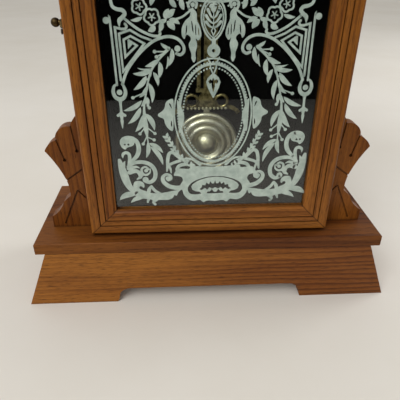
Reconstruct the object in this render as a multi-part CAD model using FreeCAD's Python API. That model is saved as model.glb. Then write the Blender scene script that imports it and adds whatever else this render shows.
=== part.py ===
import FreeCAD, Part
import math
import os

from FreeCAD import Vector

# A gingerbread clock: a shelf clock in a pressed and sawn walnut case, with a glazed door,
# a time and strike movement, a pendulum and a coil gong.
# Millimetres. X runs to the right, Y to the back, Z up. The origin is on the shelf, under the
# middle of the platform. Every turning shaft of the movement runs along Y.

# Base
FOOT_SPAN = 381.4
APRON_TOP_SPAN = 330.8
APRON_HEIGHT = 64.7
APRON_THICKNESS = 15.0
SIDE_APRON_THICKNESS = 13.0
APRON_SETBACK = 0.4
SIDE_APRON_BACK_GAP = 3.0
ARCH_FLOOR_HALF = 98.5
ARCH_SPRING_HALF = 96.5
ARCH_SPRING_HEIGHT = 5.0
ARCH_CROWN_HALF = 85.0
ARCH_HEIGHT = 17.8
PLATFORM_WIDTH = 349.0
PLATFORM_DEPTH = 123.7
PLATFORM_THICKNESS = 12.5
PLATFORM_EASED_EDGE = 1.2

# Case
CASE_WIDTH = 228.0
CASE_WALL = 9.5
CASE_BACK_GAP = 1.5
BACK_BOARD_THICKNESS = 8.0
CAP_THICKNESS = 12.0
CAP_SIDE_OVERHANG = 12.0
CAP_FRONT_OVERHANG = 5.0
CAP_EASED_EDGE = 4.0
ORNAMENT_THICKNESS = 13.0
ORNAMENT_BEHIND_DOOR = 1.95
INCISED_WIDTH = 1.7
INCISED_DEPTH = 1.3
INCISED_HOLE_RADIUS = 1.7
ROSETTE_RADIUS = 9.0
ROSETTE_RISE = 34.0

# Door
DOOR_WIDTH = 238.5
DOOR_HEIGHT = 406.4
DOOR_THICKNESS = 18.8
DOOR_BEHIND_APRON = 11.0
DOOR_BOTTOM_GAP = 2.4
DOOR_TOP_GAP = 2.4
DOOR_CASE_GAP = 0.4
RAIL_WIDTH = 26.8
OUTER_BAND = 9.3
GROOVE_WIDTH = 1.1
GROOVE_DEPTH = 1.5
MIDDLE_BAND = 4.7
RAIL_ROUNDING = 3.0
LIP_DEPTH = 5.1
LIP_STEP = 1.2
REBATE_WIDTH = 6.0
GLASS_THICKNESS = 2.0
GLASS_EDGE_GAP = 0.4
GLASS_SEAT_GAP = 0.05
BEAD_DEPTH = 4.5

# Hinges and latch
LOWER_HINGE_RISE = 142.4
UPPER_HINGE_DROP = 46.0
LEAF_LENGTH = 32.0
LEAF_THICKNESS = 1.3
LEAF_WIDTH = 10.6
LEAF_POCKET = 1.4
BARREL_RADIUS = 1.6
HINGE_PIN_RADIUS = 0.8
PIN_CLEARANCE = 0.05
KNUCKLE_GAP = 0.3
BARREL_DOOR_GAP = 0.35
SCREW_SHANK_RADIUS = 1.0
SCREW_HEAD_RADIUS = 2.2
SCREW_HEAD_THICKNESS = 0.8
SCREW_LENGTH = 8.0
SCREW_CLEARANCE = 0.04
LEAF_SCREW_SPACING = 18.0
LATCH_PIVOT_Y = -20.0
LATCH_RISE = 189.9
LATCH_REACH = 19.0
LATCH_KNOB_REACH = 24.0
LATCH_RAISED = 18.0
LATCH_THICKNESS = 1.6
LATCH_DOOR_GAP = 0.65
LATCH_JOURNAL_RADIUS = 1.6
LATCH_SHOULDER_RADIUS = 2.4
LATCH_HEAD_RADIUS = 3.0
LATCH_HEAD_THICKNESS = 1.2
LATCH_BAR_WIDTH = 5.0
LATCH_NOTCH_WIDTH = 3.2
LATCH_KNOB_RADIUS = 3.6
LATCH_KNOB_LENGTH = 7.4

# Dial and hands
DIAL_BELOW_CASE_TOP = 112.4
DIAL_RADIUS = 82.5
DIAL_THICKNESS = 0.8
DIAL_FACE_Y = -23.4
DIAL_SCREW_RADIUS = 79.6
BEZEL_INNER_RADIUS = 71.0
BEZEL_OUTER_RADIUS = 77.0
BEZEL_HEIGHT = 4.0
SUPPORT_HEIGHT = 10.0
SUPPORT_THICKNESS = 8.0
SUPPORT_OFFSET = 68.5
WINDING_HOLE_RADIUS = 4.4
HANDS_HOLE_RADIUS = 4.2
HOUR_HAND_LENGTH = 40.0
MINUTE_HAND_LENGTH = 62.0
HAND_THICKNESS = 0.7
HOUR_HAND_PROUD = 2.4
HAND_SPACING = 1.9
HAND_NUT_THICKNESS = 1.8
HAND_NUT_RADIUS = 2.6
HOUR_HUB_RADIUS = 5.2
MINUTE_HUB_RADIUS = 3.6
TIME_SHOWN_HOUR = 10
TIME_SHOWN_MINUTE = 9

# Movement frame
PLATE_HALF_WIDTH = 55.0
PLATE_TOP = 62.0
PLATE_BOTTOM = -58.0
PLATE_THICKNESS = 1.5
FRONT_PLATE_Y = -14.0
PLATE_GAP = 31.0
PILLAR_RADIUS = 3.0
PILLAR_X = 49.0
PILLAR_TOP = 56.0
PILLAR_BOTTOM = -52.0
NUT_FLAT_RADIUS = 3.6
NUT_HEIGHT = 2.2
STUD_RADIUS = 1.5
STUD_CLEARANCE = 0.03
POST_RADIUS = 3.6
POST_FLANGE_RADIUS = 7.5
POST_FLANGE_THICKNESS = 2.0
POST_TAIL_RADIUS = 2.0
POST_TAIL_LENGTH = 6.0
POST_INSET = 9.0
ARBOR_RADIUS = 1.1
PIVOT_RADIUS = 0.7
PIVOT_CLEARANCE = 0.05
END_SHAKE = 0.15
PIVOT_PROUD = 0.3
WHEEL_THICKNESS = 1.2
WHEEL_HUB_RADIUS = 3.4
COLLET_RADIUS = 2.2
COLLET_PROUD = 0.6
SHROUD_THICKNESS = 0.7
PINION_ROOM = 0.45
TRUNDLE_SHARE = 0.6
TOOTH_ADDENDUM = 0.9
TOOTH_TIP_HALF = 0.28
TOOTH_ROOT_HALF = 0.95

# Wheel work: modules, tooth counts and the planes in which the wheels turn, measured in Y
GREAT_MODULE = 0.85
SECOND_MODULE = 0.75
FINE_MODULE = 0.5
GREAT_TEETH = 60
GREAT_PINION = 8
SECOND_TEETH = 48
SECOND_PINION = 8
CENTRE_TEETH = 70
THIRD_PINION = 7
THIRD_TEETH = 63
ESCAPE_PINION = 7
ESCAPE_TEETH = 40
ESCAPE_RADIUS = 15.0
PIN_WHEEL_TEETH = 56
WARNING_PINION = 7
WARNING_TEETH = 49
FLY_PINION = 7
VANE_WIDTH = 16.0
VANE_LENGTH = 12.0
VANE_THICKNESS = 0.6
VANE_Y = 0.0
VANE_SETBACK = 2.0
VANE_COLLET_RADIUS = 1.8
COUNT_TEETH = 90
COUNT_WHEEL_RADIUS = 20.0
COUNT_NOTCH_EVERY = 9
COUNT_NOTCH_DEPTH = 3.0
COUNT_TOOTH_DEPTH = 0.8
GREAT_WHEEL_Y = 6.0
SECOND_WHEEL_Y = 11.0
CENTRE_WHEEL_Y = 14.4
FINE_WHEEL_Y = -4.0
ESCAPE_WHEEL_Y = -9.2
COUNT_WHEEL_Y = 14.4
GREAT_ARBOR_X = 29.0
GREAT_ARBOR_DROP = 26.0
WINDING_ARBOR_RADIUS = 3.0
WINDING_PIVOT_RADIUS = 2.0
WINDING_SQUARE = 4.0
WINDING_END_Y = -24.4
RATCHET_TEETH = 18
RATCHET_RADIUS = 8.5
RATCHET_TOOTH_DEPTH = 1.3
RATCHET_Y = 8.2
GREAT_HUB_RADIUS = 6.0
SPRING_FRONT_Y = -10.6
SPRING_WIDTH = 15.0
SPRING_START_RADIUS = 3.9
SPRING_PITCH = 2.5
SPRING_TURNS = 6
SPRING_BAND = 0.5

# Motion work under the dial
CANNON_MODULE = 0.6
CANNON_LEAVES = 14
MINUTE_WHEEL_TEETH = 42
MINUTE_PINION_LEAVES = 12
HOUR_WHEEL_TEETH = 48
LEAF_ADDENDUM = 0.75
LEAF_TIP_HALF = 0.22
LEAF_ROOT_HALF = 0.85
MOTION_WORK_ANGLE = 225.0
MOTION_STUD_RADIUS = 1.2
HOUR_PIPE_RADIUS = 3.0
CENTRE_ARBOR_RADIUS = 1.6
HAND_SEAT_RADIUS = 1.2

# Escapement and pendulum
VERGE_ABOVE_ESCAPE = 18.0
VERGE_GAP = 1.0
VERGE_BAND = 1.2
VERGE_HALF_SPAN = 34.0
VERGE_WIDTH = 2.5
CRUTCH_RADIUS = 0.6
CRUTCH_BEHIND_PLATE = 4.0
CRUTCH_LENGTH = 40.0
CRUTCH_EYE_RADIUS = 1.9
PENDULUM_Y = 30.0
BOB_RISE = 66.3
BOB_RADIUS = 35.0
BOSS_RADIUS = 12.5
SUSPENSION_ROD_RADIUS = 0.7
SUSPENSION_SPRING_WIDTH = 5.0
SUSPENSION_SPRING_THICKNESS = 0.3
SUSPENSION_POST_RADIUS = 3.0
FRAME_LENGTH = 98.7
FRAME_BAR_HEIGHT = 4.0
FRAME_ROD_THICKNESS = 2.0
OUTER_ROD_X = 8.4
OUTER_ROD_WIDTH = 3.6
CENTRE_ROD_WIDTH = 6.6
YOKE_ABOVE_BOB = 6.8
YOKE_HALF_WIDTH = 21.0
YOKE_BAR = 3.4
YOKE_LEAF = 14.5
LOOP_X = 15.5
LOOP_RISE = 5.7
LOOP_RADIUS = 6.3
LOOP_WIRE = 1.7

# Strike work
PIN_CIRCLE_RADIUS = 10.0
LIFT_PIN_RADIUS = 0.6
HAMMER_X = -50.0
HAMMER_Z = 22.0
HAMMER_TAIL_GAP = 0.6
HAMMER_HEAD_RADIUS = 4.0
HAMMER_HEAD_LENGTH = 11.0
HAMMER_WIRE = 1.0
HAMMER_BEHIND_PLATE = 14.0
GONG_BELOW_DIAL = 36.0
GONG_WIRE_RADIUS = 1.1
GONG_INNER_RADIUS = 11.0
GONG_PITCH = 5.0
GONG_TURNS = 4
GONG_Y = 42.0
GONG_LUG_LENGTH = 4.0
GONG_BASE_RADIUS = 8.0
GONG_FLANGE_RADIUS = 13.0
GONG_FLANGE_THICKNESS = 2.5
GONG_HAMMER_GAP = 1.2

# Places worked out from the sizes above
PLATFORM_FRONT = -PLATFORM_DEPTH / 2
PLATFORM_BACK = PLATFORM_DEPTH / 2
APRON_FRONT = PLATFORM_FRONT + APRON_SETBACK
PLATFORM_TOP = APRON_HEIGHT + PLATFORM_THICKNESS
CASE_HALF = CASE_WIDTH / 2
CASE_INNER = CASE_HALF - CASE_WALL
DOOR_HALF = DOOR_WIDTH / 2
DOOR_FRONT = APRON_FRONT + DOOR_BEHIND_APRON
DOOR_BACK = DOOR_FRONT + DOOR_THICKNESS
DOOR_BOTTOM = PLATFORM_TOP + DOOR_BOTTOM_GAP
DOOR_TOP = DOOR_BOTTOM + DOOR_HEIGHT
CASE_FRONT = DOOR_BACK + DOOR_CASE_GAP
CASE_BACK = PLATFORM_BACK - CASE_BACK_GAP
BACK_BOARD_FRONT = CASE_BACK - BACK_BOARD_THICKNESS
CASE_TOP = DOOR_TOP + DOOR_TOP_GAP
CAP_TOP = CASE_TOP + CAP_THICKNESS
DIAL_HEIGHT = CASE_TOP - DIAL_BELOW_CASE_TOP
GONG_HEIGHT = DIAL_HEIGHT - GONG_BELOW_DIAL
HINGE_HEIGHTS = (DOOR_BOTTOM + LOWER_HINGE_RISE, DOOR_TOP - UPPER_HINGE_DROP)
LATCH_PIVOT_HEIGHT = DOOR_BOTTOM + LATCH_RISE
BOB_HEIGHT = PLATFORM_TOP + BOB_RISE
YOKE_HEIGHT = BOB_HEIGHT + BOB_RADIUS + YOKE_ABOVE_BOB
FRAME_TOP_HEIGHT = YOKE_HEIGHT + FRAME_LENGTH
ORNAMENT_FRONT = DOOR_BACK + ORNAMENT_BEHIND_DOOR
GLASS_FRONT = DOOR_FRONT + LIP_DEPTH + GLASS_SEAT_GAP
GLASS_BACK = GLASS_FRONT + GLASS_THICKNESS
HINGE_X = DOOR_HALF + BARREL_DOOR_GAP + BARREL_RADIUS
HINGE_Y = (DOOR_BACK + CASE_FRONT) / 2
LEAF_EDGE_X = HINGE_X - BARREL_RADIUS - 2 * KNUCKLE_GAP
LATCH_INNER_X = -(DOOR_HALF + LATCH_DOOR_GAP)
LATCH_OUTER_X = LATCH_INNER_X - LATCH_THICKNESS
FRONT_PLATE_BACK = FRONT_PLATE_Y + PLATE_THICKNESS
BACK_PLATE_FRONT = FRONT_PLATE_BACK + PLATE_GAP
BACK_PLATE_BACK = BACK_PLATE_FRONT + PLATE_THICKNESS
DIAL_BACK = DIAL_FACE_Y + DIAL_THICKNESS


def place(x, z):
    """A point of the movement, from its place beside and above the dial's centre."""
    return (x, DIAL_HEIGHT + z)


def beside(start, distance, degrees):
    """The point at a distance from another, at an angle above the X direction."""
    turn = math.radians(degrees)
    return (start[0] + distance * math.cos(turn), start[1] + distance * math.sin(turn))


def meeting_point(first, first_distance, second, second_distance):
    """The point at given distances from two others, above the line from first to second."""
    dx = second[0] - first[0]
    dz = second[1] - first[1]
    apart = math.hypot(dx, dz)
    along = (first_distance ** 2 - second_distance ** 2 + apart ** 2) / (2 * apart)
    aside = math.sqrt(first_distance ** 2 - along ** 2)
    return (
        first[0] + (along * dx - aside * dz) / apart,
        first[1] + (along * dz + aside * dx) / apart,
    )


def mesh_distance(module, wheel_teeth, pinion_teeth):
    return module * (wheel_teeth + pinion_teeth) / 2


CENTRE = place(0.0, 0.0)
TIME_GREAT = place(GREAT_ARBOR_X, -GREAT_ARBOR_DROP)
STRIKE_GREAT = place(-GREAT_ARBOR_X, -GREAT_ARBOR_DROP)
GREAT_DISTANCE = mesh_distance(GREAT_MODULE, GREAT_TEETH, GREAT_PINION)
SECOND_DISTANCE = mesh_distance(SECOND_MODULE, SECOND_TEETH, SECOND_PINION)
TIME_SECOND = meeting_point(CENTRE, SECOND_DISTANCE, TIME_GREAT, GREAT_DISTANCE)
THIRD = beside(CENTRE, mesh_distance(FINE_MODULE, CENTRE_TEETH, THIRD_PINION), 68.7)
ESCAPE_DISTANCE = mesh_distance(FINE_MODULE, THIRD_TEETH, ESCAPE_PINION)
ESCAPE = (CENTRE[0], THIRD[1] + math.sqrt(ESCAPE_DISTANCE ** 2 - (THIRD[0] - CENTRE[0]) ** 2))
VERGE = (ESCAPE[0], ESCAPE[1] + VERGE_ABOVE_ESCAPE)
STRIKE_SECOND = beside(STRIKE_GREAT, GREAT_DISTANCE, 94.0)
PIN_ARBOR = beside(STRIKE_SECOND, SECOND_DISTANCE, 70.5)
WARNING = beside(PIN_ARBOR, mesh_distance(FINE_MODULE, PIN_WHEEL_TEETH, WARNING_PINION), 112.4)
FLY = beside(WARNING, mesh_distance(FINE_MODULE, WARNING_TEETH, FLY_PINION), 127.5)
HAMMER = place(HAMMER_X, HAMMER_Z)
CANNON_DISTANCE = mesh_distance(CANNON_MODULE, CANNON_LEAVES, MINUTE_WHEEL_TEETH)
HOUR_MODULE = 2 * CANNON_DISTANCE / (MINUTE_PINION_LEAVES + HOUR_WHEEL_TEETH)
MINUTE_STUD = beside(CENTRE, CANNON_DISTANCE, MOTION_WORK_ANGLE)


# Solid helpers. Outlines are drawn in the plane of X and Z and pulled along Y.

def block(x0, x1, y0, y1, z0, z1):
    return Part.makeBox(x1 - x0, y1 - y0, z1 - z0, Vector(x0, y0, z0))


def rod(centre, radius, y0, y1):
    return Part.makeCylinder(radius, y1 - y0, Vector(centre[0], y0, centre[1]), Vector(0, 1, 0))


def ring(centre, outer, inner, y0, y1):
    return rod(centre, outer, y0, y1).cut(rod(centre, inner, y0 - 1, y1 + 1))


def outline_edges(points, y):
    """Edges through the points; a step of two points is an arc through the first of them."""
    edges = []
    here = Vector(points[0][0], y, points[0][1])
    for step in points[1:]:
        if isinstance(step[0], tuple):
            middle = Vector(step[0][0], y, step[0][1])
            end = Vector(step[1][0], y, step[1][1])
            edges.append(Part.Arc(here, middle, end).toShape())
        else:
            end = Vector(step[0], y, step[1])
            edges.append(Part.LineSegment(here, end).toShape())
        here = end
    start = Vector(points[0][0], y, points[0][1])
    if here.distanceToPoint(start) > 1e-6:
        edges.append(Part.LineSegment(here, start).toShape())
    return edges


def board(points, y0, y1):
    face = Part.Face(Part.Wire(outline_edges(points, y0)))
    return face.extrude(Vector(0, y1 - y0, 0))


def polygon_plate(points, y0, y1):
    corners = [Vector(x, y0, z) for x, z in points]
    face = Part.Face(Part.makePolygon(corners + corners[:1]))
    return face.extrude(Vector(0, y1 - y0, 0))


def moved(points, dx, dz, side=1):
    """The same outline, mirrored to a side and moved."""
    result = []
    for step in points:
        if isinstance(step[0], tuple):
            result.append(tuple((side * (x + dx), z + dz) for x, z in step))
        else:
            result.append((side * (step[0] + dx), step[1] + dz))
    return result


def joined(shapes):
    whole = shapes[0].multiFuse(shapes[1:])
    return whole.removeSplitter()


def mirrored(shape):
    return shape.mirror(Vector(0, 0, 0), Vector(1, 0, 0))


def turned_about_y(shape, centre, degrees):
    """Positive degrees turn clockwise as seen from the front."""
    copy = shape.copy()
    copy.rotate(Vector(centre[0], 0, centre[1]), Vector(0, 1, 0), degrees)
    return copy


def save(name, shape):
    solids = shape.Solids
    if not solids or not all(solid.isValid() for solid in solids):
        raise ValueError(name + " isn't a valid solid")
    result = solids[0] if len(solids) == 1 else Part.makeCompound(solids)
    result.exportStep("parts/" + name + ".step")
    print(name, len(solids), "solid", round(result.Volume, 1))


# Fasteners

def screw(point, direction):
    """A small flat-headed wood screw; point is on the face that its head lies flush with."""
    shank = Part.makeCylinder(SCREW_SHANK_RADIUS, SCREW_LENGTH, point, direction)
    head = Part.makeCylinder(SCREW_HEAD_RADIUS, SCREW_HEAD_THICKNESS, point, direction)
    return head.fuse(shank).removeSplitter()


def screw_hole(point, direction):
    start = point - direction * SCREW_CLEARANCE
    depth = SCREW_LENGTH + 2 * SCREW_CLEARANCE
    sunk = SCREW_HEAD_THICKNESS + 2 * SCREW_CLEARANCE
    shank = Part.makeCylinder(SCREW_SHANK_RADIUS + SCREW_CLEARANCE, depth, start, direction)
    head = Part.makeCylinder(SCREW_HEAD_RADIUS + SCREW_CLEARANCE, sunk, start, direction)
    return head.fuse(shank)


def leaf_screws(x, y, along):
    """Screws of both hinges: their points and the direction that they are driven in."""
    offsets = (-LEAF_SCREW_SPACING / 2, LEAF_SCREW_SPACING / 2)
    return [(Vector(x, y, z + dz), Vector(0, along, 0)) for z in HINGE_HEIGHTS for dz in offsets]


LEAF_MID_X = LEAF_EDGE_X - LEAF_WIDTH / 2
DOOR_LEAF_Y = DOOR_BACK - (LEAF_POCKET - LEAF_THICKNESS) / 2
CASE_LEAF_Y = CASE_FRONT + (LEAF_POCKET - LEAF_THICKNESS) / 2
CASE_LEAF_MID_X = (LEAF_EDGE_X - LEAF_WIDTH + CASE_HALF) / 2
STUD_PROUD = LATCH_DOOR_GAP + LATCH_THICKNESS + KNUCKLE_GAP + SCREW_HEAD_THICKNESS
LATCH_STUD_POINT = Vector(-DOOR_HALF - STUD_PROUD, LATCH_PIVOT_Y - LATCH_REACH, LATCH_PIVOT_HEIGHT)


def dial_screws():
    result = []
    for side in (-1, 1):
        for level in (-1, 1):
            height = level * SUPPORT_OFFSET
            x = side * math.sqrt(DIAL_SCREW_RADIUS ** 2 - height ** 2)
            point = Vector(x, DIAL_FACE_Y - SCREW_HEAD_THICKNESS, DIAL_HEIGHT + height)
            result.append((point, Vector(0, 1, 0)))
    return result


def gong_screws():
    middle = (GONG_BASE_RADIUS + GONG_FLANGE_RADIUS) / 2
    head_face = BACK_BOARD_FRONT - GONG_FLANGE_THICKNESS
    return [(Vector(s * middle, head_face, GONG_HEIGHT), Vector(0, 1, 0)) for s in (-1, 1)]


DOOR_SCREWS = leaf_screws(LEAF_MID_X, DOOR_LEAF_Y, -1) + [(LATCH_STUD_POINT, Vector(1, 0, 0))]
CASE_SCREWS = leaf_screws(CASE_LEAF_MID_X, CASE_LEAF_Y, 1)


def without_screws(shape, places):
    for point, direction in places:
        shape = shape.cut(screw_hole(point, direction))
    return shape


# Base

def front_apron():
    half = FOOT_SPAN / 2
    top = APRON_TOP_SPAN / 2
    rise = (ARCH_CROWN_HALF + ARCH_SPRING_HALF) / 2 + 1.6
    shoulder = (ARCH_SPRING_HEIGHT + ARCH_HEIGHT) / 2 + 3.6
    points = [
        (-half, 0.0),
        (-ARCH_FLOOR_HALF, 0.0),
        (-ARCH_SPRING_HALF, ARCH_SPRING_HEIGHT),
        ((-rise, shoulder), (-ARCH_CROWN_HALF, ARCH_HEIGHT)),
        (ARCH_CROWN_HALF, ARCH_HEIGHT),
        ((rise, shoulder), (ARCH_SPRING_HALF, ARCH_SPRING_HEIGHT)),
        (ARCH_FLOOR_HALF, 0.0),
        (half, 0.0),
        (top, APRON_HEIGHT),
        (-top, APRON_HEIGHT),
    ]
    return board(points, APRON_FRONT, APRON_FRONT + APRON_THICKNESS)


def right_apron():
    half = FOOT_SPAN / 2
    top = APRON_TOP_SPAN / 2
    thickness = SIDE_APRON_THICKNESS
    points = [(half - thickness, 0.0), (half, 0.0), (top, APRON_HEIGHT), (top - thickness, APRON_HEIGHT)]
    return board(points, APRON_FRONT + APRON_THICKNESS, PLATFORM_BACK - SIDE_APRON_BACK_GAP)


def platform():
    half = PLATFORM_WIDTH / 2
    slab = block(-half, half, PLATFORM_FRONT, PLATFORM_BACK, APRON_HEIGHT, PLATFORM_TOP)
    rims = [edge for edge in slab.Edges if is_long_outer_edge(edge, APRON_HEIGHT, PLATFORM_TOP)]
    return slab.makeFillet(PLATFORM_EASED_EDGE, rims)


def is_long_outer_edge(edge, low, high):
    """Every edge of a slab that lies in its top or bottom face."""
    heights = [vertex.Z for vertex in edge.Vertexes]
    flat = abs(heights[0] - heights[-1]) < 1e-6
    return flat and (abs(heights[0] - low) < 1e-6 or abs(heights[0] - high) < 1e-6)


# Case

def right_case_side():
    wall = block(CASE_INNER, CASE_HALF, CASE_FRONT, CASE_BACK, PLATFORM_TOP, CASE_TOP)
    for height in HINGE_HEIGHTS:
        low = height - LEAF_LENGTH / 2 - KNUCKLE_GAP
        high = height + LEAF_LENGTH / 2 + KNUCKLE_GAP
        left = LEAF_EDGE_X - LEAF_WIDTH - KNUCKLE_GAP
        pocket = block(left, CASE_HALF + 1, CASE_FRONT - 1, CASE_FRONT + LEAF_POCKET, low, high)
        wall = wall.cut(pocket)
    return without_screws(wall, CASE_SCREWS)


def left_case_side():
    wall = block(-CASE_HALF, -CASE_INNER, CASE_FRONT, CASE_BACK, PLATFORM_TOP, CASE_TOP)
    thread = Part.makeCylinder(
        STUD_RADIUS + SCREW_CLEARANCE,
        CASE_WALL - 2,
        Vector(-CASE_HALF - 1, LATCH_PIVOT_Y, LATCH_PIVOT_HEIGHT),
        Vector(1, 0, 0),
    )
    return wall.cut(thread)


def post_places():
    """Where the four posts that carry the movement stand, one inside each plate corner."""
    x = PILLAR_X
    return [
        (side * x, DIAL_HEIGHT + z)
        for side in (-1, 1)
        for z in (PILLAR_BOTTOM + POST_INSET, PILLAR_TOP - POST_INSET)
    ]


def back_board():
    panel = block(-CASE_INNER, CASE_INNER, BACK_BOARD_FRONT, CASE_BACK, PLATFORM_TOP, CASE_TOP)
    for centre in post_places():
        end = BACK_BOARD_FRONT + POST_TAIL_LENGTH + SCREW_CLEARANCE
        panel = panel.cut(rod(centre, POST_TAIL_RADIUS + SCREW_CLEARANCE, BACK_BOARD_FRONT - 1, end))
    return without_screws(panel, gong_screws())


def case_cap():
    """The moulded board that closes the top of the case and overhangs the door."""
    half = CASE_HALF + CAP_SIDE_OVERHANG
    front = DOOR_FRONT - CAP_FRONT_OVERHANG
    slab = block(-half, half, front, CASE_BACK, CASE_TOP, CAP_TOP)
    rims = [edge for edge in slab.Edges if is_cap_rim(edge, front)]
    return slab.makeFillet(CAP_EASED_EDGE, rims)


def is_cap_rim(edge, front):
    """The lower edges at the front and the two sides of the cap."""
    ends = edge.Vertexes
    low = all(abs(vertex.Z - CASE_TOP) < 1e-6 for vertex in ends)
    at_back = all(abs(vertex.Y - CASE_BACK) < 1e-6 for vertex in ends)
    return low and not at_back


# Sawn and incised ornaments. Their outlines start at the case side and the board below.

WING_OUTLINE = [
    (0.0, 0.0),
    (47.5, 0.0),
    (47.5, 12.2),
    ((37.6, 21.0), (33.0, 29.5)),
    ((28.1, 34.0), (25.3, 36.2)),
    ((25.5, 46.0), (27.2, 54.5)),
    ((34.6, 71.5), (43.0, 84.8)),
    ((36.6, 92.8), (30.4, 96.0)),
    (31.2, 98.2),
    ((25.3, 107.0), (15.9, 108.8)),
    (14.8, 111.5),
    ((9.5, 118.5), (0.0, 121.6)),
]
WING_GROOVES = [
    ((30.8, 97.0), (25.6, 75.2), True),
    ((15.4, 110.0), (12.8, 84.4), True),
    ((27.2, 53.3), (10.5, 65.2), False),
    ((35.3, 3.3), (17.6, 42.6), False),
    ((17.6, 42.6), (10.6, 33.6), False),
]
CROWN_OUTLINE = [
    (0.0, 0.0),
    (108.0, 0.0),
    (108.0, 9.0),
    ((97.5, 14.5), (92.0, 24.0)),
    ((86.5, 31.0), (78.0, 31.8)),
    (76.0, 29.0),
    ((67.5, 41.0), (54.5, 42.2)),
    (52.5, 39.5),
    ((44.8, 48.5), (40.0, 58.5)),
    (41.0, 61.5),
    ((31.5, 73.5), (19.0, 74.0)),
    (16.5, 71.5),
    ((10.0, 80.5), (0.0, 83.0)),
]
CROWN_GROOVES = [
    ((77.0, 30.5), (70.0, 12.0), True),
    ((53.4, 41.0), (46.5, 20.0), True),
    ((17.8, 73.0), (13.0, 50.0), True),
    ((40.5, 60.0), (26.0, 42.0), True),
    ((97.0, 5.5), (57.0, 5.5), False),
    ((36.0, 26.0), (12.0, 14.0), False),
]


def incised_line(start, end, drilled, front):
    """A shallow groove across the front face, with a drilled hole at its far end."""
    dx = end[0] - start[0]
    dz = end[1] - start[1]
    length = math.hypot(dx, dz)
    side_x = -dz / length * INCISED_WIDTH / 2
    side_z = dx / length * INCISED_WIDTH / 2
    corners = [
        (start[0] + side_x, start[1] + side_z),
        (start[0] - side_x, start[1] - side_z),
        (end[0] - side_x, end[1] - side_z),
        (end[0] + side_x, end[1] + side_z),
    ]
    cut = polygon_plate(corners, front - 1, front + INCISED_DEPTH)
    if drilled:
        hole = rod(end, INCISED_HOLE_RADIUS, front - 1, front + 2 * INCISED_DEPTH)
        cut = cut.fuse(hole)
    return cut


def incise(shape, grooves, dx, dz):
    for start, end, drilled in grooves:
        moved_start = (start[0] + dx, start[1] + dz)
        moved_end = (end[0] + dx, end[1] + dz)
        shape = shape.cut(incised_line(moved_start, moved_end, drilled, ORNAMENT_FRONT))
    return shape


def right_wing():
    back = ORNAMENT_FRONT + ORNAMENT_THICKNESS
    wing = board(moved(WING_OUTLINE, CASE_HALF, PLATFORM_TOP), ORNAMENT_FRONT, back)
    return incise(wing, WING_GROOVES, CASE_HALF, PLATFORM_TOP)


def crown():
    back = ORNAMENT_FRONT + ORNAMENT_THICKNESS
    half = board(moved(CROWN_OUTLINE, 0.0, CAP_TOP), ORNAMENT_FRONT, back)
    half = incise(half, CROWN_GROOVES, 0.0, CAP_TOP)
    whole = joined([half, mirrored(half)])
    centre = (0.0, CAP_TOP + ROSETTE_RISE)
    inner = ROSETTE_RADIUS - INCISED_WIDTH
    rosette = ring(centre, ROSETTE_RADIUS, inner, ORNAMENT_FRONT - 1, ORNAMENT_FRONT + INCISED_DEPTH)
    return whole.cut(rosette)


# Door. A rail's cross-section is measured inward from the outer edge and back from the front.

def rail_section():
    """Corners of the moulding: (inward, back), with an arc at the rounded outer edge."""
    r = RAIL_ROUNDING
    slope = r * (1 - math.sqrt(0.5))
    first = OUTER_BAND
    second = first + GROOVE_WIDTH + MIDDLE_BAND
    lip = RAIL_WIDTH - LIP_STEP
    points = [(0.0, DOOR_THICKNESS), (0.0, r), ((slope, slope), (r, 0.0))]
    for start in (first, second):
        points.append((start, 0.0))
        points.append((start + GROOVE_WIDTH / 2, GROOVE_DEPTH))
        points.append((start + GROOVE_WIDTH, 0.0))
    points.append((lip - LIP_STEP, 0.0))
    points.append((lip, LIP_STEP))
    points.append((RAIL_WIDTH, LIP_STEP + 0.6))
    points.append((RAIL_WIDTH, LIP_DEPTH))
    points.append((RAIL_WIDTH - REBATE_WIDTH, LIP_DEPTH))
    points.append((RAIL_WIDTH - REBATE_WIDTH, DOOR_THICKNESS))
    return points


def upright_rail():
    """The right stile before its mitres: its section stands on end and runs up the door."""
    section = []
    for step in rail_section():
        if isinstance(step[0], tuple):
            section.append(tuple((DOOR_HALF - u, v) for u, v in step))
        else:
            section.append((DOOR_HALF - step[0], step[1]))
    edges = []
    here = None
    for step in section + section[:1]:
        if isinstance(step[0], tuple):
            points = [Vector(u, DOOR_FRONT + v, DOOR_BOTTOM) for u, v in step]
            edges.append(Part.Arc(here, points[0], points[1]).toShape())
            here = points[1]
        else:
            point = Vector(step[0], DOOR_FRONT + step[1], DOOR_BOTTOM)
            if here is not None:
                edges.append(Part.LineSegment(here, point).toShape())
            here = point
    return Part.Face(Part.Wire(edges)).extrude(Vector(0, 0, DOOR_HEIGHT))


def level_rail():
    """The bottom rail before its mitres: the stile laid over and stretched to the door's width."""
    rail = upright_rail()
    rail.translate(Vector(-DOOR_HALF, 0, -DOOR_BOTTOM))
    rail.rotate(Vector(0, 0, 0), Vector(0, 1, 0), 90)
    rail.translate(Vector(0, 0, DOOR_BOTTOM))
    bounds = rail.BoundBox
    rail.translate(Vector(-(bounds.XMin + bounds.XMax) / 2, 0, 0))
    return rail


def door_right_stile():
    inner = DOOR_HALF - RAIL_WIDTH
    keep = polygon_plate(
        [
            (DOOR_HALF, DOOR_BOTTOM),
            (DOOR_HALF, DOOR_TOP),
            (inner, DOOR_TOP - RAIL_WIDTH),
            (inner, DOOR_BOTTOM + RAIL_WIDTH),
        ],
        DOOR_FRONT - 1,
        DOOR_BACK + 1,
    )
    return upright_rail().common(keep)


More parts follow.
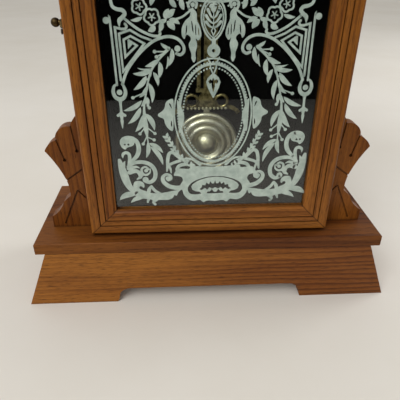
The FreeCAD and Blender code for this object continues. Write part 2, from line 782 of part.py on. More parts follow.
def door_right_stile_with_pockets():
    stile = door_right_stile()
    for height in HINGE_HEIGHTS:
        low = height - LEAF_LENGTH / 2 - KNUCKLE_GAP
        high = height + LEAF_LENGTH / 2 + KNUCKLE_GAP
        left = LEAF_EDGE_X - LEAF_WIDTH - KNUCKLE_GAP
        pocket = block(left, DOOR_HALF + 1, DOOR_BACK - LEAF_POCKET, DOOR_BACK + 1, low, high)
        stile = stile.cut(pocket)
    return without_screws(stile, DOOR_SCREWS)


def door_left_stile():
    return without_screws(mirrored(door_right_stile()), DOOR_SCREWS)


def door_bottom_rail():
    inner = DOOR_HALF - RAIL_WIDTH
    keep = polygon_plate(
        [
            (-DOOR_HALF, DOOR_BOTTOM),
            (DOOR_HALF, DOOR_BOTTOM),
            (inner, DOOR_BOTTOM + RAIL_WIDTH),
            (-inner, DOOR_BOTTOM + RAIL_WIDTH),
        ],
        DOOR_FRONT - 1,
        DOOR_BACK + 1,
    )
    return level_rail().common(keep)


def door_top_rail():
    middle = (DOOR_BOTTOM + DOOR_TOP) / 2
    return door_bottom_rail().mirror(Vector(0, 0, middle), Vector(0, 0, 1))


def rebate_box(gap, y0, y1):
    """The space inside the rebate, less a gap all round."""
    half = DOOR_HALF - RAIL_WIDTH + REBATE_WIDTH - gap
    low = DOOR_BOTTOM + RAIL_WIDTH - REBATE_WIDTH + gap
    high = DOOR_TOP - RAIL_WIDTH + REBATE_WIDTH - gap
    return block(-half, half, y0, y1, low, high)


def door_glass():
    return rebate_box(GLASS_EDGE_GAP, GLASS_FRONT, GLASS_BACK)


def glass_beads():
    """Four square sticks that hold the glass in its rebate."""
    y0 = GLASS_BACK + GLASS_SEAT_GAP
    y1 = y0 + BEAD_DEPTH
    outer = rebate_box(0.0, y0, y1).BoundBox
    width = REBATE_WIDTH - 1.0
    upright_low = outer.ZMin + width + GLASS_SEAT_GAP
    upright_high = outer.ZMax - width - GLASS_SEAT_GAP
    sticks = [
        block(outer.XMin, outer.XMax, y0, y1, outer.ZMin, outer.ZMin + width),
        block(outer.XMin, outer.XMax, y0, y1, outer.ZMax - width, outer.ZMax),
        block(outer.XMin, outer.XMin + width, y0, y1, upright_low, upright_high),
        block(outer.XMax - width, outer.XMax, y0, y1, upright_low, upright_high),
    ]
    return Part.makeCompound(sticks)


# Hinges

def barrel(low, high, radius):
    return Part.makeCylinder(radius, high - low, Vector(HINGE_X, HINGE_Y, low))


def hinge_leaf(height, plate_y0, plate_y1, spans, places):
    """A leaf with a knuckle on each of the given stretches of its length."""
    low = height - LEAF_LENGTH / 2
    high = height + LEAF_LENGTH / 2
    pieces = [block(LEAF_EDGE_X - LEAF_WIDTH, LEAF_EDGE_X, plate_y0, plate_y1, low, high)]
    for start, end in spans:
        z0 = low + start
        z1 = low + end
        pieces.append(block(LEAF_EDGE_X, HINGE_X, plate_y0, plate_y1, z0, z1))
        pieces.append(barrel(z0, z1, BARREL_RADIUS))
    leaf = joined(pieces).cut(barrel(low - 1, high + 1, HINGE_PIN_RADIUS + PIN_CLEARANCE))
    return without_screws(leaf, places)


def door_hinge_leaves():
    third = LEAF_LENGTH / 3
    spans = [(third + KNUCKLE_GAP / 2, 2 * third - KNUCKLE_GAP / 2)]
    y1 = DOOR_LEAF_Y
    return [hinge_leaf(z, y1 - LEAF_THICKNESS, y1, spans, DOOR_SCREWS) for z in HINGE_HEIGHTS]


def case_hinge_leaves():
    third = LEAF_LENGTH / 3
    spans = [(0.0, third - KNUCKLE_GAP / 2), (2 * third + KNUCKLE_GAP / 2, LEAF_LENGTH)]
    y0 = CASE_LEAF_Y
    return [hinge_leaf(z, y0, y0 + LEAF_THICKNESS, spans, CASE_SCREWS) for z in HINGE_HEIGHTS]


def hinge_pins():
    """Pins with a round head on top of each barrel."""
    pins = []
    for height in HINGE_HEIGHTS:
        low = height - LEAF_LENGTH / 2
        high = height + LEAF_LENGTH / 2
        pin = barrel(low, high, HINGE_PIN_RADIUS)
        head = barrel(high, high + BARREL_RADIUS, BARREL_RADIUS)
        pins.append(joined([pin, head]))
    return pins


# Latch: a hook on the left side of the case that drops over a screw in the door's edge

def latch_hook():
    """Drawn as it lies when hooked, then raised to its rest position, clear of the door."""
    y = LATCH_PIVOT_Y
    z = LATCH_PIVOT_HEIGHT
    half = LATCH_BAR_WIDTH / 2
    nose = y - LATCH_KNOB_REACH - half
    stud = y - LATCH_REACH
    notch = LATCH_NOTCH_WIDTH / 2
    drop = 1.6 * half
    corners = [
        (y, z + half),
        (nose + half, z + half),
        (nose, z),
        (nose, z - drop),
        (stud - notch, z - drop),
        (stud - notch, z),
        (stud, z + notch),
        (stud + notch, z),
        (stud + notch, z - half),
        (y, z - half),
    ]
    points = [Vector(LATCH_OUTER_X, cy, cz) for cy, cz in corners]
    bar = Part.Face(Part.makePolygon(points + points[:1])).extrude(Vector(LATCH_THICKNESS, 0, 0))
    pivot = Vector(LATCH_OUTER_X, y, z)
    along_x = Vector(1, 0, 0)
    eye = Part.makeCylinder(1.5 * half, LATCH_THICKNESS, pivot, along_x)
    hook = joined([bar, eye, latch_knob(y - LATCH_KNOB_REACH, z)])
    bore = LATCH_JOURNAL_RADIUS + PIN_CLEARANCE
    hook = hook.cut(Part.makeCylinder(bore, 2 * LATCH_THICKNESS, pivot - along_x, along_x))
    hook.rotate(pivot, along_x, -LATCH_RAISED)
    return hook


def latch_knob(y, z):
    """A ball-ended thumb knob that stands out from the hook on a short neck."""
    ball_x = LATCH_OUTER_X - LATCH_KNOB_LENGTH + LATCH_KNOB_RADIUS
    ball = Part.makeSphere(LATCH_KNOB_RADIUS, Vector(ball_x, y, z))
    neck_length = LATCH_OUTER_X - ball_x
    neck = Part.makeCylinder(0.6 * LATCH_KNOB_RADIUS, neck_length, Vector(ball_x, y, z), Vector(1, 0, 0))
    return joined([ball, neck])


def latch_screw():
    """A shoulder screw: thread in the case side, shoulder, journal for the hook, and head."""
    y = LATCH_PIVOT_Y
    z = LATCH_PIVOT_HEIGHT
    stages = [
        (-CASE_HALF + CASE_WALL - 4, -CASE_HALF, STUD_RADIUS),
        (-CASE_HALF, LATCH_INNER_X + KNUCKLE_GAP / 2, LATCH_SHOULDER_RADIUS),
        (LATCH_INNER_X + KNUCKLE_GAP / 2, LATCH_OUTER_X - KNUCKLE_GAP / 2, LATCH_JOURNAL_RADIUS),
        (LATCH_OUTER_X - KNUCKLE_GAP / 2, LATCH_OUTER_X - LATCH_HEAD_THICKNESS, LATCH_HEAD_RADIUS),
    ]
    pieces = []
    for start, end, radius in stages:
        pieces.append(Part.makeCylinder(radius, start - end, Vector(end, y, z), Vector(1, 0, 0)))
    return joined(pieces)


# Dial and hands

def dial_supports():
    """Two bars across the case that the dial is screwed to."""
    bars = []
    for level in (-1, 1):
        middle = DIAL_HEIGHT + level * SUPPORT_OFFSET
        z0 = middle - SUPPORT_HEIGHT / 2
        z1 = middle + SUPPORT_HEIGHT / 2
        bar = block(-CASE_INNER, CASE_INNER, DIAL_BACK, DIAL_BACK + SUPPORT_THICKNESS, z0, z1)
        bars.append(without_screws(bar, dial_screws()))
    return bars


def dial_pan():
    pan = rod(CENTRE, DIAL_RADIUS, DIAL_FACE_Y, DIAL_BACK)
    pan = pan.cut(rod(CENTRE, HANDS_HOLE_RADIUS, DIAL_FACE_Y - 1, DIAL_BACK + 1))
    for centre in (TIME_GREAT, STRIKE_GREAT):
        pan = pan.cut(rod(centre, WINDING_HOLE_RADIUS, DIAL_FACE_Y - 1, DIAL_BACK + 1))
    return without_screws(pan, dial_screws())


def dial_bezel():
    """A hollow half-round brass ring pressed over the rim of the dial."""
    middle = (BEZEL_INNER_RADIUS + BEZEL_OUTER_RADIUS) / 2
    x0 = BEZEL_INNER_RADIUS
    x1 = BEZEL_OUTER_RADIUS
    y = DIAL_FACE_Y
    z = DIAL_HEIGHT
    crest = Vector(middle, y - BEZEL_HEIGHT, z)
    profile = [
        Part.Arc(Vector(x0, y, z), crest, Vector(x1, y, z)).toShape(),
        Part.LineSegment(Vector(x1, y, z), Vector(x0, y, z)).toShape(),
    ]
    face = Part.Face(Part.Wire(profile))
    return face.revolve(Vector(0, y, z), Vector(0, 1, 0), 360)


def hand(length, hub, bore, y0, degrees):
    """A tapering hand with a cross-shaped blade near its tip, pointing to an angle past 12."""
    y1 = y0 + HAND_THICKNESS
    tip = CENTRE[1] + length
    blade = CENTRE[1] + 0.62 * length
    stem = 0.018 * length + 0.5
    arm = 0.075 * length + 1.4
    outline = [
        (-stem, CENTRE[1]),
        (-stem, blade - arm),
        ((-0.55 * arm, blade - 0.6 * arm), (-arm, blade)),
        ((-0.55 * arm, blade + 0.4 * arm), (-stem, blade + arm)),
        (-0.4 * stem, tip),
        (0.4 * stem, tip),
        (stem, blade + arm),
        ((0.55 * arm, blade + 0.4 * arm), (arm, blade)),
        ((0.55 * arm, blade - 0.6 * arm), (stem, blade - arm)),
        (stem, CENTRE[1]),
    ]
    shape = joined([board(outline, y0, y1), rod(CENTRE, hub, y0, y1)])
    shape = shape.cut(rod(CENTRE, bore, y0 - 1, y1 + 1))
    return turned_about_y(shape, CENTRE, degrees)


HOUR_HAND_Y = DIAL_FACE_Y - HOUR_HAND_PROUD
MINUTE_HAND_Y = HOUR_HAND_Y - HAND_SPACING
HAND_NUT_Y = MINUTE_HAND_Y - HAND_NUT_THICKNESS
MINUTE_ANGLE = TIME_SHOWN_MINUTE * 6.0
HOUR_ANGLE = (TIME_SHOWN_HOUR + TIME_SHOWN_MINUTE / 60.0) * 30.0


def hour_hand():
    bore = HOUR_PIPE_RADIUS + STUD_CLEARANCE
    return hand(HOUR_HAND_LENGTH, HOUR_HUB_RADIUS, bore, HOUR_HAND_Y, HOUR_ANGLE)


def minute_hand():
    bore = HAND_SEAT_RADIUS + STUD_CLEARANCE
    return hand(MINUTE_HAND_LENGTH, MINUTE_HUB_RADIUS, bore, MINUTE_HAND_Y, MINUTE_ANGLE)


def hand_nut():
    y1 = MINUTE_HAND_Y - STUD_CLEARANCE
    nut = rod(CENTRE, HAND_NUT_RADIUS, HAND_NUT_Y, y1)
    return nut.cut(rod(CENTRE, HAND_SEAT_RADIUS + STUD_CLEARANCE, HAND_NUT_Y - 1, y1 + 1))


# Wheels and pinions

def toothed_points(centre, teeth, module, phase, addendum, tip_half, root_half):
    """Corner points of straight-flanked teeth; phase is the angle of one tooth's middle."""
    pitch_radius = teeth * module / 2
    tip = pitch_radius + addendum * module
    root = pitch_radius - addendum * module - 0.15 * module
    tip_angle = tip_half * module / tip
    root_angle = root_half * module / root
    points = []
    for tooth in range(teeth):
        middle = phase + tooth * 2 * math.pi / teeth
        corners = ((root, -root_angle), (tip, -tip_angle), (tip, tip_angle), (root, root_angle))
        for radius, angle in corners:
            points.append(beside(centre, radius, math.degrees(middle + angle)))
    return points


def wheel_blank(centre, teeth, module, phase, y0, thickness=WHEEL_THICKNESS):
    points = toothed_points(
        centre, teeth, module, phase, TOOTH_ADDENDUM, TOOTH_TIP_HALF, TOOTH_ROOT_HALF
    )
    return polygon_plate(points, y0, y0 + thickness)


def leaf_gear(centre, teeth, module, phase, y0, y1):
    points = toothed_points(
        centre, teeth, module, phase, LEAF_ADDENDUM, LEAF_TIP_HALF, LEAF_ROOT_HALF
    )
    return polygon_plate(points, y0, y1)


def crossed_out(shape, centre, outer, hub, y0, y1, windows=5):
    """The wheel with round windows between its rim and its hub."""
    middle = (outer + hub) / 2
    radius = 0.36 * (outer - hub) + 0.08 * hub
    for window in range(windows):
        spot = beside(centre, middle, 90 + 360 * window / windows)
        shape = shape.cut(rod(spot, radius, y0 - 1, y1 + 1))
    return shape


def lantern_pinion(centre, trundles, module, phase, wheel_y, thickness=WHEEL_THICKNESS):
    """Round trundles between two shrouds, either side of the wheel that drives them."""
    pitch_radius = trundles * module / 2
    trundle = TRUNDLE_SHARE * module
    shroud = pitch_radius + trundle + 0.2 * module
    y0 = wheel_y - PINION_ROOM
    y1 = wheel_y + thickness + PINION_ROOM
    pieces = [
        rod(centre, shroud, y0 - SHROUD_THICKNESS, y0),
        rod(centre, shroud, y1, y1 + SHROUD_THICKNESS),
    ]
    for number in range(trundles):
        spot = beside(centre, pitch_radius, math.degrees(phase + number * 2 * math.pi / trundles))
        pieces.append(rod(spot, trundle, y0 - SHROUD_THICKNESS / 2, y1 + SHROUD_THICKNESS / 2))
    return pieces


def direction(start, end):
    return math.atan2(end[1] - start[1], end[0] - start[0])


def meshing_phase(wheel_centre, wheel_teeth, wheel_phase, centre, teeth):
    """The phase at which a pinion's trundle lies in the middle of a gap between two teeth."""
    toward = direction(wheel_centre, centre)
    wheel_share = (toward - wheel_phase) * wheel_teeth / (2 * math.pi)
    share = 0.5 - wheel_share
    return toward + math.pi - share * 2 * math.pi / teeth


def arbor(centre, radius):
    """A plain arbor between the plates, with a pivot through each of them."""
    y0 = FRONT_PLATE_BACK + END_SHAKE
    y1 = BACK_PLATE_FRONT - END_SHAKE
    pivots = rod(centre, PIVOT_RADIUS, FRONT_PLATE_Y - PIVOT_PROUD, BACK_PLATE_BACK + PIVOT_PROUD)
    return [rod(centre, radius, y0, y1), pivots]


TIME_SECOND_PHASE = meshing_phase(TIME_GREAT, GREAT_TEETH, 0.0, TIME_SECOND, GREAT_PINION)
CENTRE_PINION_PHASE = meshing_phase(TIME_SECOND, SECOND_TEETH, 0.0, CENTRE, SECOND_PINION)
THIRD_PINION_PHASE = meshing_phase(CENTRE, CENTRE_TEETH, 0.0, THIRD, THIRD_PINION)
ESCAPE_PINION_PHASE = meshing_phase(THIRD, THIRD_TEETH, 0.0, ESCAPE, ESCAPE_PINION)
STRIKE_SECOND_PHASE = meshing_phase(STRIKE_GREAT, GREAT_TEETH, 0.0, STRIKE_SECOND, GREAT_PINION)
PIN_PINION_PHASE = meshing_phase(STRIKE_SECOND, SECOND_TEETH, 0.0, PIN_ARBOR, SECOND_PINION)
WARNING_PINION_PHASE = meshing_phase(PIN_ARBOR, PIN_WHEEL_TEETH, 0.0, WARNING, WARNING_PINION)
FLY_PINION_PHASE = meshing_phase(WARNING, WARNING_TEETH, 0.0, FLY, FLY_PINION)
MINUTE_WHEEL_PHASE = meshing_phase(CENTRE, CANNON_LEAVES, 0.0, MINUTE_STUD, MINUTE_WHEEL_TEETH)
HOUR_WHEEL_PHASE = meshing_phase(MINUTE_STUD, MINUTE_PINION_LEAVES, 0.0, CENTRE, HOUR_WHEEL_TEETH)


def great_wheel(centre):
    """A great wheel that runs free on its winding arbor."""
    y0 = GREAT_WHEEL_Y
    blank = wheel_blank(centre, GREAT_TEETH, GREAT_MODULE, 0.0, y0)
    outer = GREAT_TEETH * GREAT_MODULE / 2 - 2 * GREAT_MODULE
    blank = crossed_out(blank, centre, outer, GREAT_HUB_RADIUS + 4, y0, y0 + WHEEL_THICKNESS)
    hub = rod(centre, GREAT_HUB_RADIUS, y0 - 1.2, y0 + WHEEL_THICKNESS)
    bore = rod(centre, WINDING_ARBOR_RADIUS + PIVOT_CLEARANCE, y0 - 3, y0 + WHEEL_THICKNESS + 1)
    return joined([blank, hub]).cut(bore)


def winding_arbor(centre):
    """The arbor that the key turns: ratchet wheel, journals in both plates and a square end."""
    points = []
    step = 360 / RATCHET_TEETH
    for tooth in range(RATCHET_TEETH):
        points.append(beside(centre, RATCHET_RADIUS, tooth * step))
        points.append(beside(centre, RATCHET_RADIUS - RATCHET_TOOTH_DEPTH, (tooth + 0.12) * step))
    ratchet = polygon_plate(points, RATCHET_Y, RATCHET_Y + WHEEL_THICKNESS)
    shaft = rod(centre, WINDING_ARBOR_RADIUS, FRONT_PLATE_Y - 1.0, BACK_PLATE_FRONT - END_SHAKE)
    pivot = rod(centre, WINDING_PIVOT_RADIUS, BACK_PLATE_FRONT - 1, BACK_PLATE_BACK + PIVOT_PROUD)
    half = WINDING_SQUARE / 2
    x, z = centre
    square = block(x - half, x + half, WINDING_END_Y, FRONT_PLATE_Y, z - half, z + half)
    return joined([ratchet, shaft, pivot, square])


def pinned_wheel(
    centre, pinion, pinion_module, pinion_phase, pinion_y, teeth, module, wheel_y, windows=5
):
    """An arbor with a lantern pinion and a crossed-out wheel on it, as one riveted piece."""
    wheel = wheel_blank(centre, teeth, module, 0.0, wheel_y)
    outer = teeth * module / 2 - 2.2 * module
    y1 = wheel_y + WHEEL_THICKNESS
    wheel = crossed_out(wheel, centre, outer, WHEEL_HUB_RADIUS, wheel_y, y1, windows)
    collet = rod(centre, COLLET_RADIUS, wheel_y - COLLET_PROUD, y1 + COLLET_PROUD)
    pieces = [wheel, collet] + arbor(centre, ARBOR_RADIUS)
    pieces += lantern_pinion(centre, pinion, pinion_module, pinion_phase, pinion_y)
    return pieces


def time_second_wheel():
    return joined(
        pinned_wheel(
            TIME_SECOND, GREAT_PINION, GREAT_MODULE, TIME_SECOND_PHASE, GREAT_WHEEL_Y,
            SECOND_TEETH, SECOND_MODULE, SECOND_WHEEL_Y,
        )
    )


def third_wheel():
    return joined(
        pinned_wheel(
            THIRD, THIRD_PINION, FINE_MODULE, THIRD_PINION_PHASE, CENTRE_WHEEL_Y,
            THIRD_TEETH, FINE_MODULE, FINE_WHEEL_Y,
        )
    )


def strike_second_wheel():
    return joined(
        pinned_wheel(
            STRIKE_SECOND, GREAT_PINION, GREAT_MODULE, STRIKE_SECOND_PHASE, GREAT_WHEEL_Y,
            SECOND_TEETH, SECOND_MODULE, SECOND_WHEEL_Y,
        )
    )


def pin_wheel():
    """Carries the two pins that lift the hammer's tail."""
    pieces = pinned_wheel(
        PIN_ARBOR, SECOND_PINION, SECOND_MODULE, PIN_PINION_PHASE, SECOND_WHEEL_Y,
        PIN_WHEEL_TEETH, FINE_MODULE, CENTRE_WHEEL_Y, windows=4,
    )
    for degrees in (45.0, 225.0):
        spot = beside(PIN_ARBOR, PIN_CIRCLE_RADIUS, degrees)
        pieces.append(rod(spot, LIFT_PIN_RADIUS, CENTRE_WHEEL_Y, CENTRE_WHEEL_Y + 2.8))
    return joined(pieces)


def warning_wheel():
    return joined(
        pinned_wheel(
            WARNING, WARNING_PINION, FINE_MODULE, WARNING_PINION_PHASE, CENTRE_WHEEL_Y,
            WARNING_TEETH, FINE_MODULE, FINE_WHEEL_Y,
        )
    )


def fly():
    """The air brake of the strike train: a bent sheet vane on the last arbor."""
    reach = VANE_WIDTH / 2
    half = VANE_THICKNESS / 2
    back = VANE_Y + VANE_LENGTH
    vane = block(FLY[0] - reach, FLY[0] + reach, VANE_Y, back, FLY[1] - half, FLY[1] + half)
    collet = rod(FLY, VANE_COLLET_RADIUS, VANE_Y + VANE_SETBACK, back - VANE_SETBACK)
    pieces = [vane, collet] + arbor(FLY, ARBOR_RADIUS)
    pieces += lantern_pinion(FLY, FLY_PINION, FINE_MODULE, FLY_PINION_PHASE, FINE_WHEEL_Y)
    return joined(pieces)


def escape_wheel():
    points = []
    root = ESCAPE_RADIUS - 2.2
    step = 2 * math.pi / ESCAPE_TEETH
    for tooth in range(ESCAPE_TEETH):
        start = tooth * step
        tip = (ESCAPE_RADIUS, start + 0.42 * step)
        for radius, angle in ((root, start), tip, (root, start + 0.55 * step)):
            points.append(beside(ESCAPE, radius, math.degrees(angle)))
    y0 = ESCAPE_WHEEL_Y
    wheel = polygon_plate(points, y0, y0 + WHEEL_THICKNESS)
    y1 = y0 + WHEEL_THICKNESS
    wheel = crossed_out(wheel, ESCAPE, root - 1, WHEEL_HUB_RADIUS, y0, y1)
    collet = rod(ESCAPE, COLLET_RADIUS, y0 - COLLET_PROUD, y1 + COLLET_PROUD)
    pieces = [wheel, collet] + arbor(ESCAPE, ARBOR_RADIUS)
    pieces += lantern_pinion(ESCAPE, ESCAPE_PINION, FINE_MODULE, ESCAPE_PINION_PHASE, FINE_WHEEL_Y)
    return joined(pieces)


def centre_arbor():
    """Centre wheel, its pinion and the cannon pinion, on the arbor that carries the minute hand."""
    y0 = CENTRE_WHEEL_Y
    wheel = wheel_blank(CENTRE, CENTRE_TEETH, FINE_MODULE, 0.0, y0)
    outer = CENTRE_TEETH * FINE_MODULE / 2 - 2.2 * FINE_MODULE
    wheel = crossed_out(wheel, CENTRE, outer, WHEEL_HUB_RADIUS, y0, y0 + WHEEL_THICKNESS)
    back = BACK_PLATE_FRONT - END_SHAKE
    pieces = [
        wheel,
        rod(CENTRE, CENTRE_ARBOR_RADIUS, MINUTE_HAND_Y + HAND_THICKNESS, back),
        rod(CENTRE, HAND_SEAT_RADIUS, HAND_NUT_Y - 0.3, MINUTE_HAND_Y + 1),
        rod(CENTRE, PIVOT_RADIUS, back - 1, BACK_PLATE_BACK + PIVOT_PROUD),
        leaf_gear(CENTRE, CANNON_LEAVES, CANNON_MODULE, 0.0, FRONT_PLATE_Y - 3.6, FRONT_PLATE_Y - 1.0),
    ]
    pieces += lantern_pinion(CENTRE, SECOND_PINION, SECOND_MODULE, CENTRE_PINION_PHASE, SECOND_WHEEL_Y)
    return joined(pieces)


def minute_wheel():
    """The intermediate wheel of the motion work, free on a stud in the front plate."""
    y1 = FRONT_PLATE_Y - 1.4
    y0 = y1 - WHEEL_THICKNESS
    wheel = leaf_gear(MINUTE_STUD, MINUTE_WHEEL_TEETH, CANNON_MODULE, MINUTE_WHEEL_PHASE, y0, y1)
    pinion = leaf_gear(MINUTE_STUD, MINUTE_PINION_LEAVES, HOUR_MODULE, 0.0, FRONT_PLATE_Y - 6.4, y0)
    bore = rod(MINUTE_STUD, MOTION_STUD_RADIUS + PIVOT_CLEARANCE, FRONT_PLATE_Y - 8, y1 + 1)
    return joined([wheel, pinion]).cut(bore)


def hour_wheel():
    """The hour wheel with its pipe, free on the centre arbor."""
    y1 = FRONT_PLATE_Y - 4.6
    y0 = y1 - WHEEL_THICKNESS
    wheel = leaf_gear(CENTRE, HOUR_WHEEL_TEETH, HOUR_MODULE, HOUR_WHEEL_PHASE, y0, y1)
    pipe = rod(CENTRE, HOUR_PIPE_RADIUS, HOUR_HAND_Y - 0.4, y1)
    bore = rod(CENTRE, CENTRE_ARBOR_RADIUS + PIVOT_CLEARANCE, HOUR_HAND_Y - 2, y1 + 1)
    return joined([wheel, pipe]).cut(bore)


def count_wheel():
    """The wheel that counts the blows: deep notches between stretches of shallow teeth."""
    points = []
    step = 2 * math.pi / COUNT_TEETH
    for tooth in range(COUNT_TEETH):
        start = tooth * step
        depth = COUNT_NOTCH_DEPTH if tooth % COUNT_NOTCH_EVERY == 0 else COUNT_TOOTH_DEPTH
        points.append(beside(STRIKE_GREAT, COUNT_WHEEL_RADIUS, math.degrees(start)))
        root = COUNT_WHEEL_RADIUS - depth
        points.append(beside(STRIKE_GREAT, root, math.degrees(start + step / 2)))
    y0 = COUNT_WHEEL_Y
    wheel = polygon_plate(points, y0, y0 + WHEEL_THICKNESS)
    wheel = crossed_out(wheel, STRIKE_GREAT, COUNT_WHEEL_RADIUS - 3, 4.5, y0, y0 + WHEEL_THICKNESS)
    hub = rod(STRIKE_GREAT, 4.5, y0 - 0.8, y0 + WHEEL_THICKNESS + 0.8)
    bore = rod(STRIKE_GREAT, WINDING_ARBOR_RADIUS + PIVOT_CLEARANCE, y0 - 2, y0 + 4)
    return joined([wheel, hub]).cut(bore)


def mainspring(centre):
    """A flat spiral of half turns, wound from the winding arbor outwards."""
    growth = SPRING_PITCH / 2
    y = SPRING_FRONT_Y
    inner = spiral_half_turns(centre, SPRING_START_RADIUS, growth, 2 * SPRING_TURNS, y)
    outer = spiral_half_turns(centre, SPRING_START_RADIUS + SPRING_BAND, growth, 2 * SPRING_TURNS, y)
    closing = [
        Part.LineSegment(inner[0].Vertexes[0].Point, outer[0].Vertexes[0].Point).toShape(),
        Part.LineSegment(inner[-1].Vertexes[-1].Point, outer[-1].Vertexes[-1].Point).toShape(),
    ]
    wire = Part.Wire(Part.__sortEdges__(inner + outer + closing))
    return Part.Face(wire).extrude(Vector(0, SPRING_WIDTH, 0))


def spiral_half_turns(centre, start_radius, growth, count, y):
    """Half circles whose centres step along X, so that each is wider than the one before."""
    edges = []
    x = centre[0]
    radius = start_radius
    side = 1
    here = Vector(x + radius, y, centre[1])
    for number in range(count):
        middle_x = here.x - side * radius
        crest = Vector(middle_x, y, centre[1] + side * radius)
        end = Vector(middle_x - side * radius, y, centre[1])
        edges.append(Part.Arc(here, crest, end).toShape())
        here = end
        side = -side
        radius += growth
    return edges


# Movement frame

def plate_outline():
    top = DIAL_HEIGHT + PLATE_TOP
    low = DIAL_HEIGHT + PLATE_BOTTOM
    return block(-PLATE_HALF_WIDTH, PLATE_HALF_WIDTH, 0, PLATE_THICKNESS, low, top)


def pillar_places():
    return [(side * PILLAR_X, DIAL_HEIGHT + z) for side in (-1, 1) for z in (PILLAR_BOTTOM, PILLAR_TOP)]


def train_centres():
    return [TIME_SECOND, THIRD, ESCAPE, STRIKE_SECOND, PIN_ARBOR, WARNING, FLY, HAMMER]


def drilled(plate, holes):
    for centre, radius in holes:
        plate = plate.cut(rod(centre, radius, plate.BoundBox.YMin - 1, plate.BoundBox.YMax + 1))
    return plate


def front_plate():
    plate = plate_outline()
    plate.translate(Vector(0, FRONT_PLATE_Y, 0))
    clear = PIVOT_RADIUS + PIVOT_CLEARANCE
    holes = [(centre, clear) for centre in train_centres()]
    holes.append((VERGE, clear))
    holes.append((CENTRE, CENTRE_ARBOR_RADIUS + PIVOT_CLEARANCE))
    holes += [(centre, WINDING_ARBOR_RADIUS + PIVOT_CLEARANCE) for centre in (TIME_GREAT, STRIKE_GREAT)]
    holes += [(centre, STUD_RADIUS + STUD_CLEARANCE) for centre in pillar_places()]
    stud = rod(MINUTE_STUD, MOTION_STUD_RADIUS, FRONT_PLATE_Y - 7.0, FRONT_PLATE_Y + 0.5)
    return joined([drilled(plate, holes), stud])


def back_plate():
    plate = plate_outline()
    plate.translate(Vector(0, BACK_PLATE_FRONT, 0))
    clear = PIVOT_RADIUS + PIVOT_CLEARANCE
    holes = [(centre, clear) for centre in train_centres()[:-1] + [CENTRE]]
    holes.append((HAMMER, ARBOR_RADIUS + PIVOT_CLEARANCE))
    holes.append((VERGE, ARBOR_RADIUS + PIVOT_CLEARANCE))
    winding_clear = WINDING_PIVOT_RADIUS + PIVOT_CLEARANCE
    holes += [(centre, winding_clear) for centre in (TIME_GREAT, STRIKE_GREAT)]
    holes += [(centre, STUD_RADIUS + STUD_CLEARANCE) for centre in pillar_places() + post_places()]
    return joined([drilled(plate, holes), suspension_post()])


def suspension_post():
    """A slotted stud riveted to the back plate, which holds the suspension spring."""
    centre = (VERGE[0], VERGE[1] + 6.0)
    end = PENDULUM_Y + SUSPENSION_SPRING_WIDTH / 2 + 1.5
    post = rod(centre, SUSPENSION_POST_RADIUS, BACK_PLATE_BACK - 0.5, end)
    slot_start = PENDULUM_Y - SUSPENSION_SPRING_WIDTH / 2 - 0.6
    slot = block(-0.7, 0.7, slot_start, end + 1, centre[1] - 5, centre[1] + 1.8)
    return post.cut(slot)


def plate_pillars():
    """Turned pillars riveted in the back plate and nutted through the front plate."""
    pillars = []
    for centre in pillar_places():
        body = rod(centre, PILLAR_RADIUS, FRONT_PLATE_BACK, BACK_PLATE_FRONT)
        stud = rod(centre, STUD_RADIUS, FRONT_PLATE_Y - NUT_HEIGHT - 0.6, BACK_PLATE_BACK + 0.5)
        pillars.append(joined([body, stud]))
    return pillars


def hexagon(centre, radius, y0, y1):
    corners = [beside(centre, radius, 60 * corner) for corner in range(6)]
    return polygon_plate(corners, y0, y1)


def plate_nuts():
    """Nuts on the pillars in front of the movement, and on the posts between the plates."""
    nuts = []
    seats = [(centre, FRONT_PLATE_Y - NUT_HEIGHT) for centre in pillar_places()]
    seats += [(centre, BACK_PLATE_FRONT - NUT_HEIGHT) for centre in post_places()]
    for centre, y0 in seats:
        nut = hexagon(centre, NUT_FLAT_RADIUS, y0, y0 + NUT_HEIGHT)
        nuts.append(nut.cut(rod(centre, STUD_RADIUS + STUD_CLEARANCE, y0 - 1, y0 + NUT_HEIGHT + 1)))
    return nuts


def movement_posts():
    """Posts screwed into the back board, which carry the movement clear of the pendulum."""
    posts = []
    for centre in post_places():
        flange = BACK_BOARD_FRONT - POST_FLANGE_THICKNESS
        pieces = [
            rod(centre, POST_RADIUS, BACK_PLATE_BACK, BACK_BOARD_FRONT),
            rod(centre, POST_FLANGE_RADIUS, flange, BACK_BOARD_FRONT),
            rod(centre, POST_TAIL_RADIUS, BACK_BOARD_FRONT - 1, BACK_BOARD_FRONT + POST_TAIL_LENGTH),
            rod(centre, STUD_RADIUS, BACK_PLATE_FRONT - NUT_HEIGHT - 0.6, BACK_PLATE_BACK + 1),
        ]
        posts.append(joined(pieces))
    return posts


# Escapement and pendulum

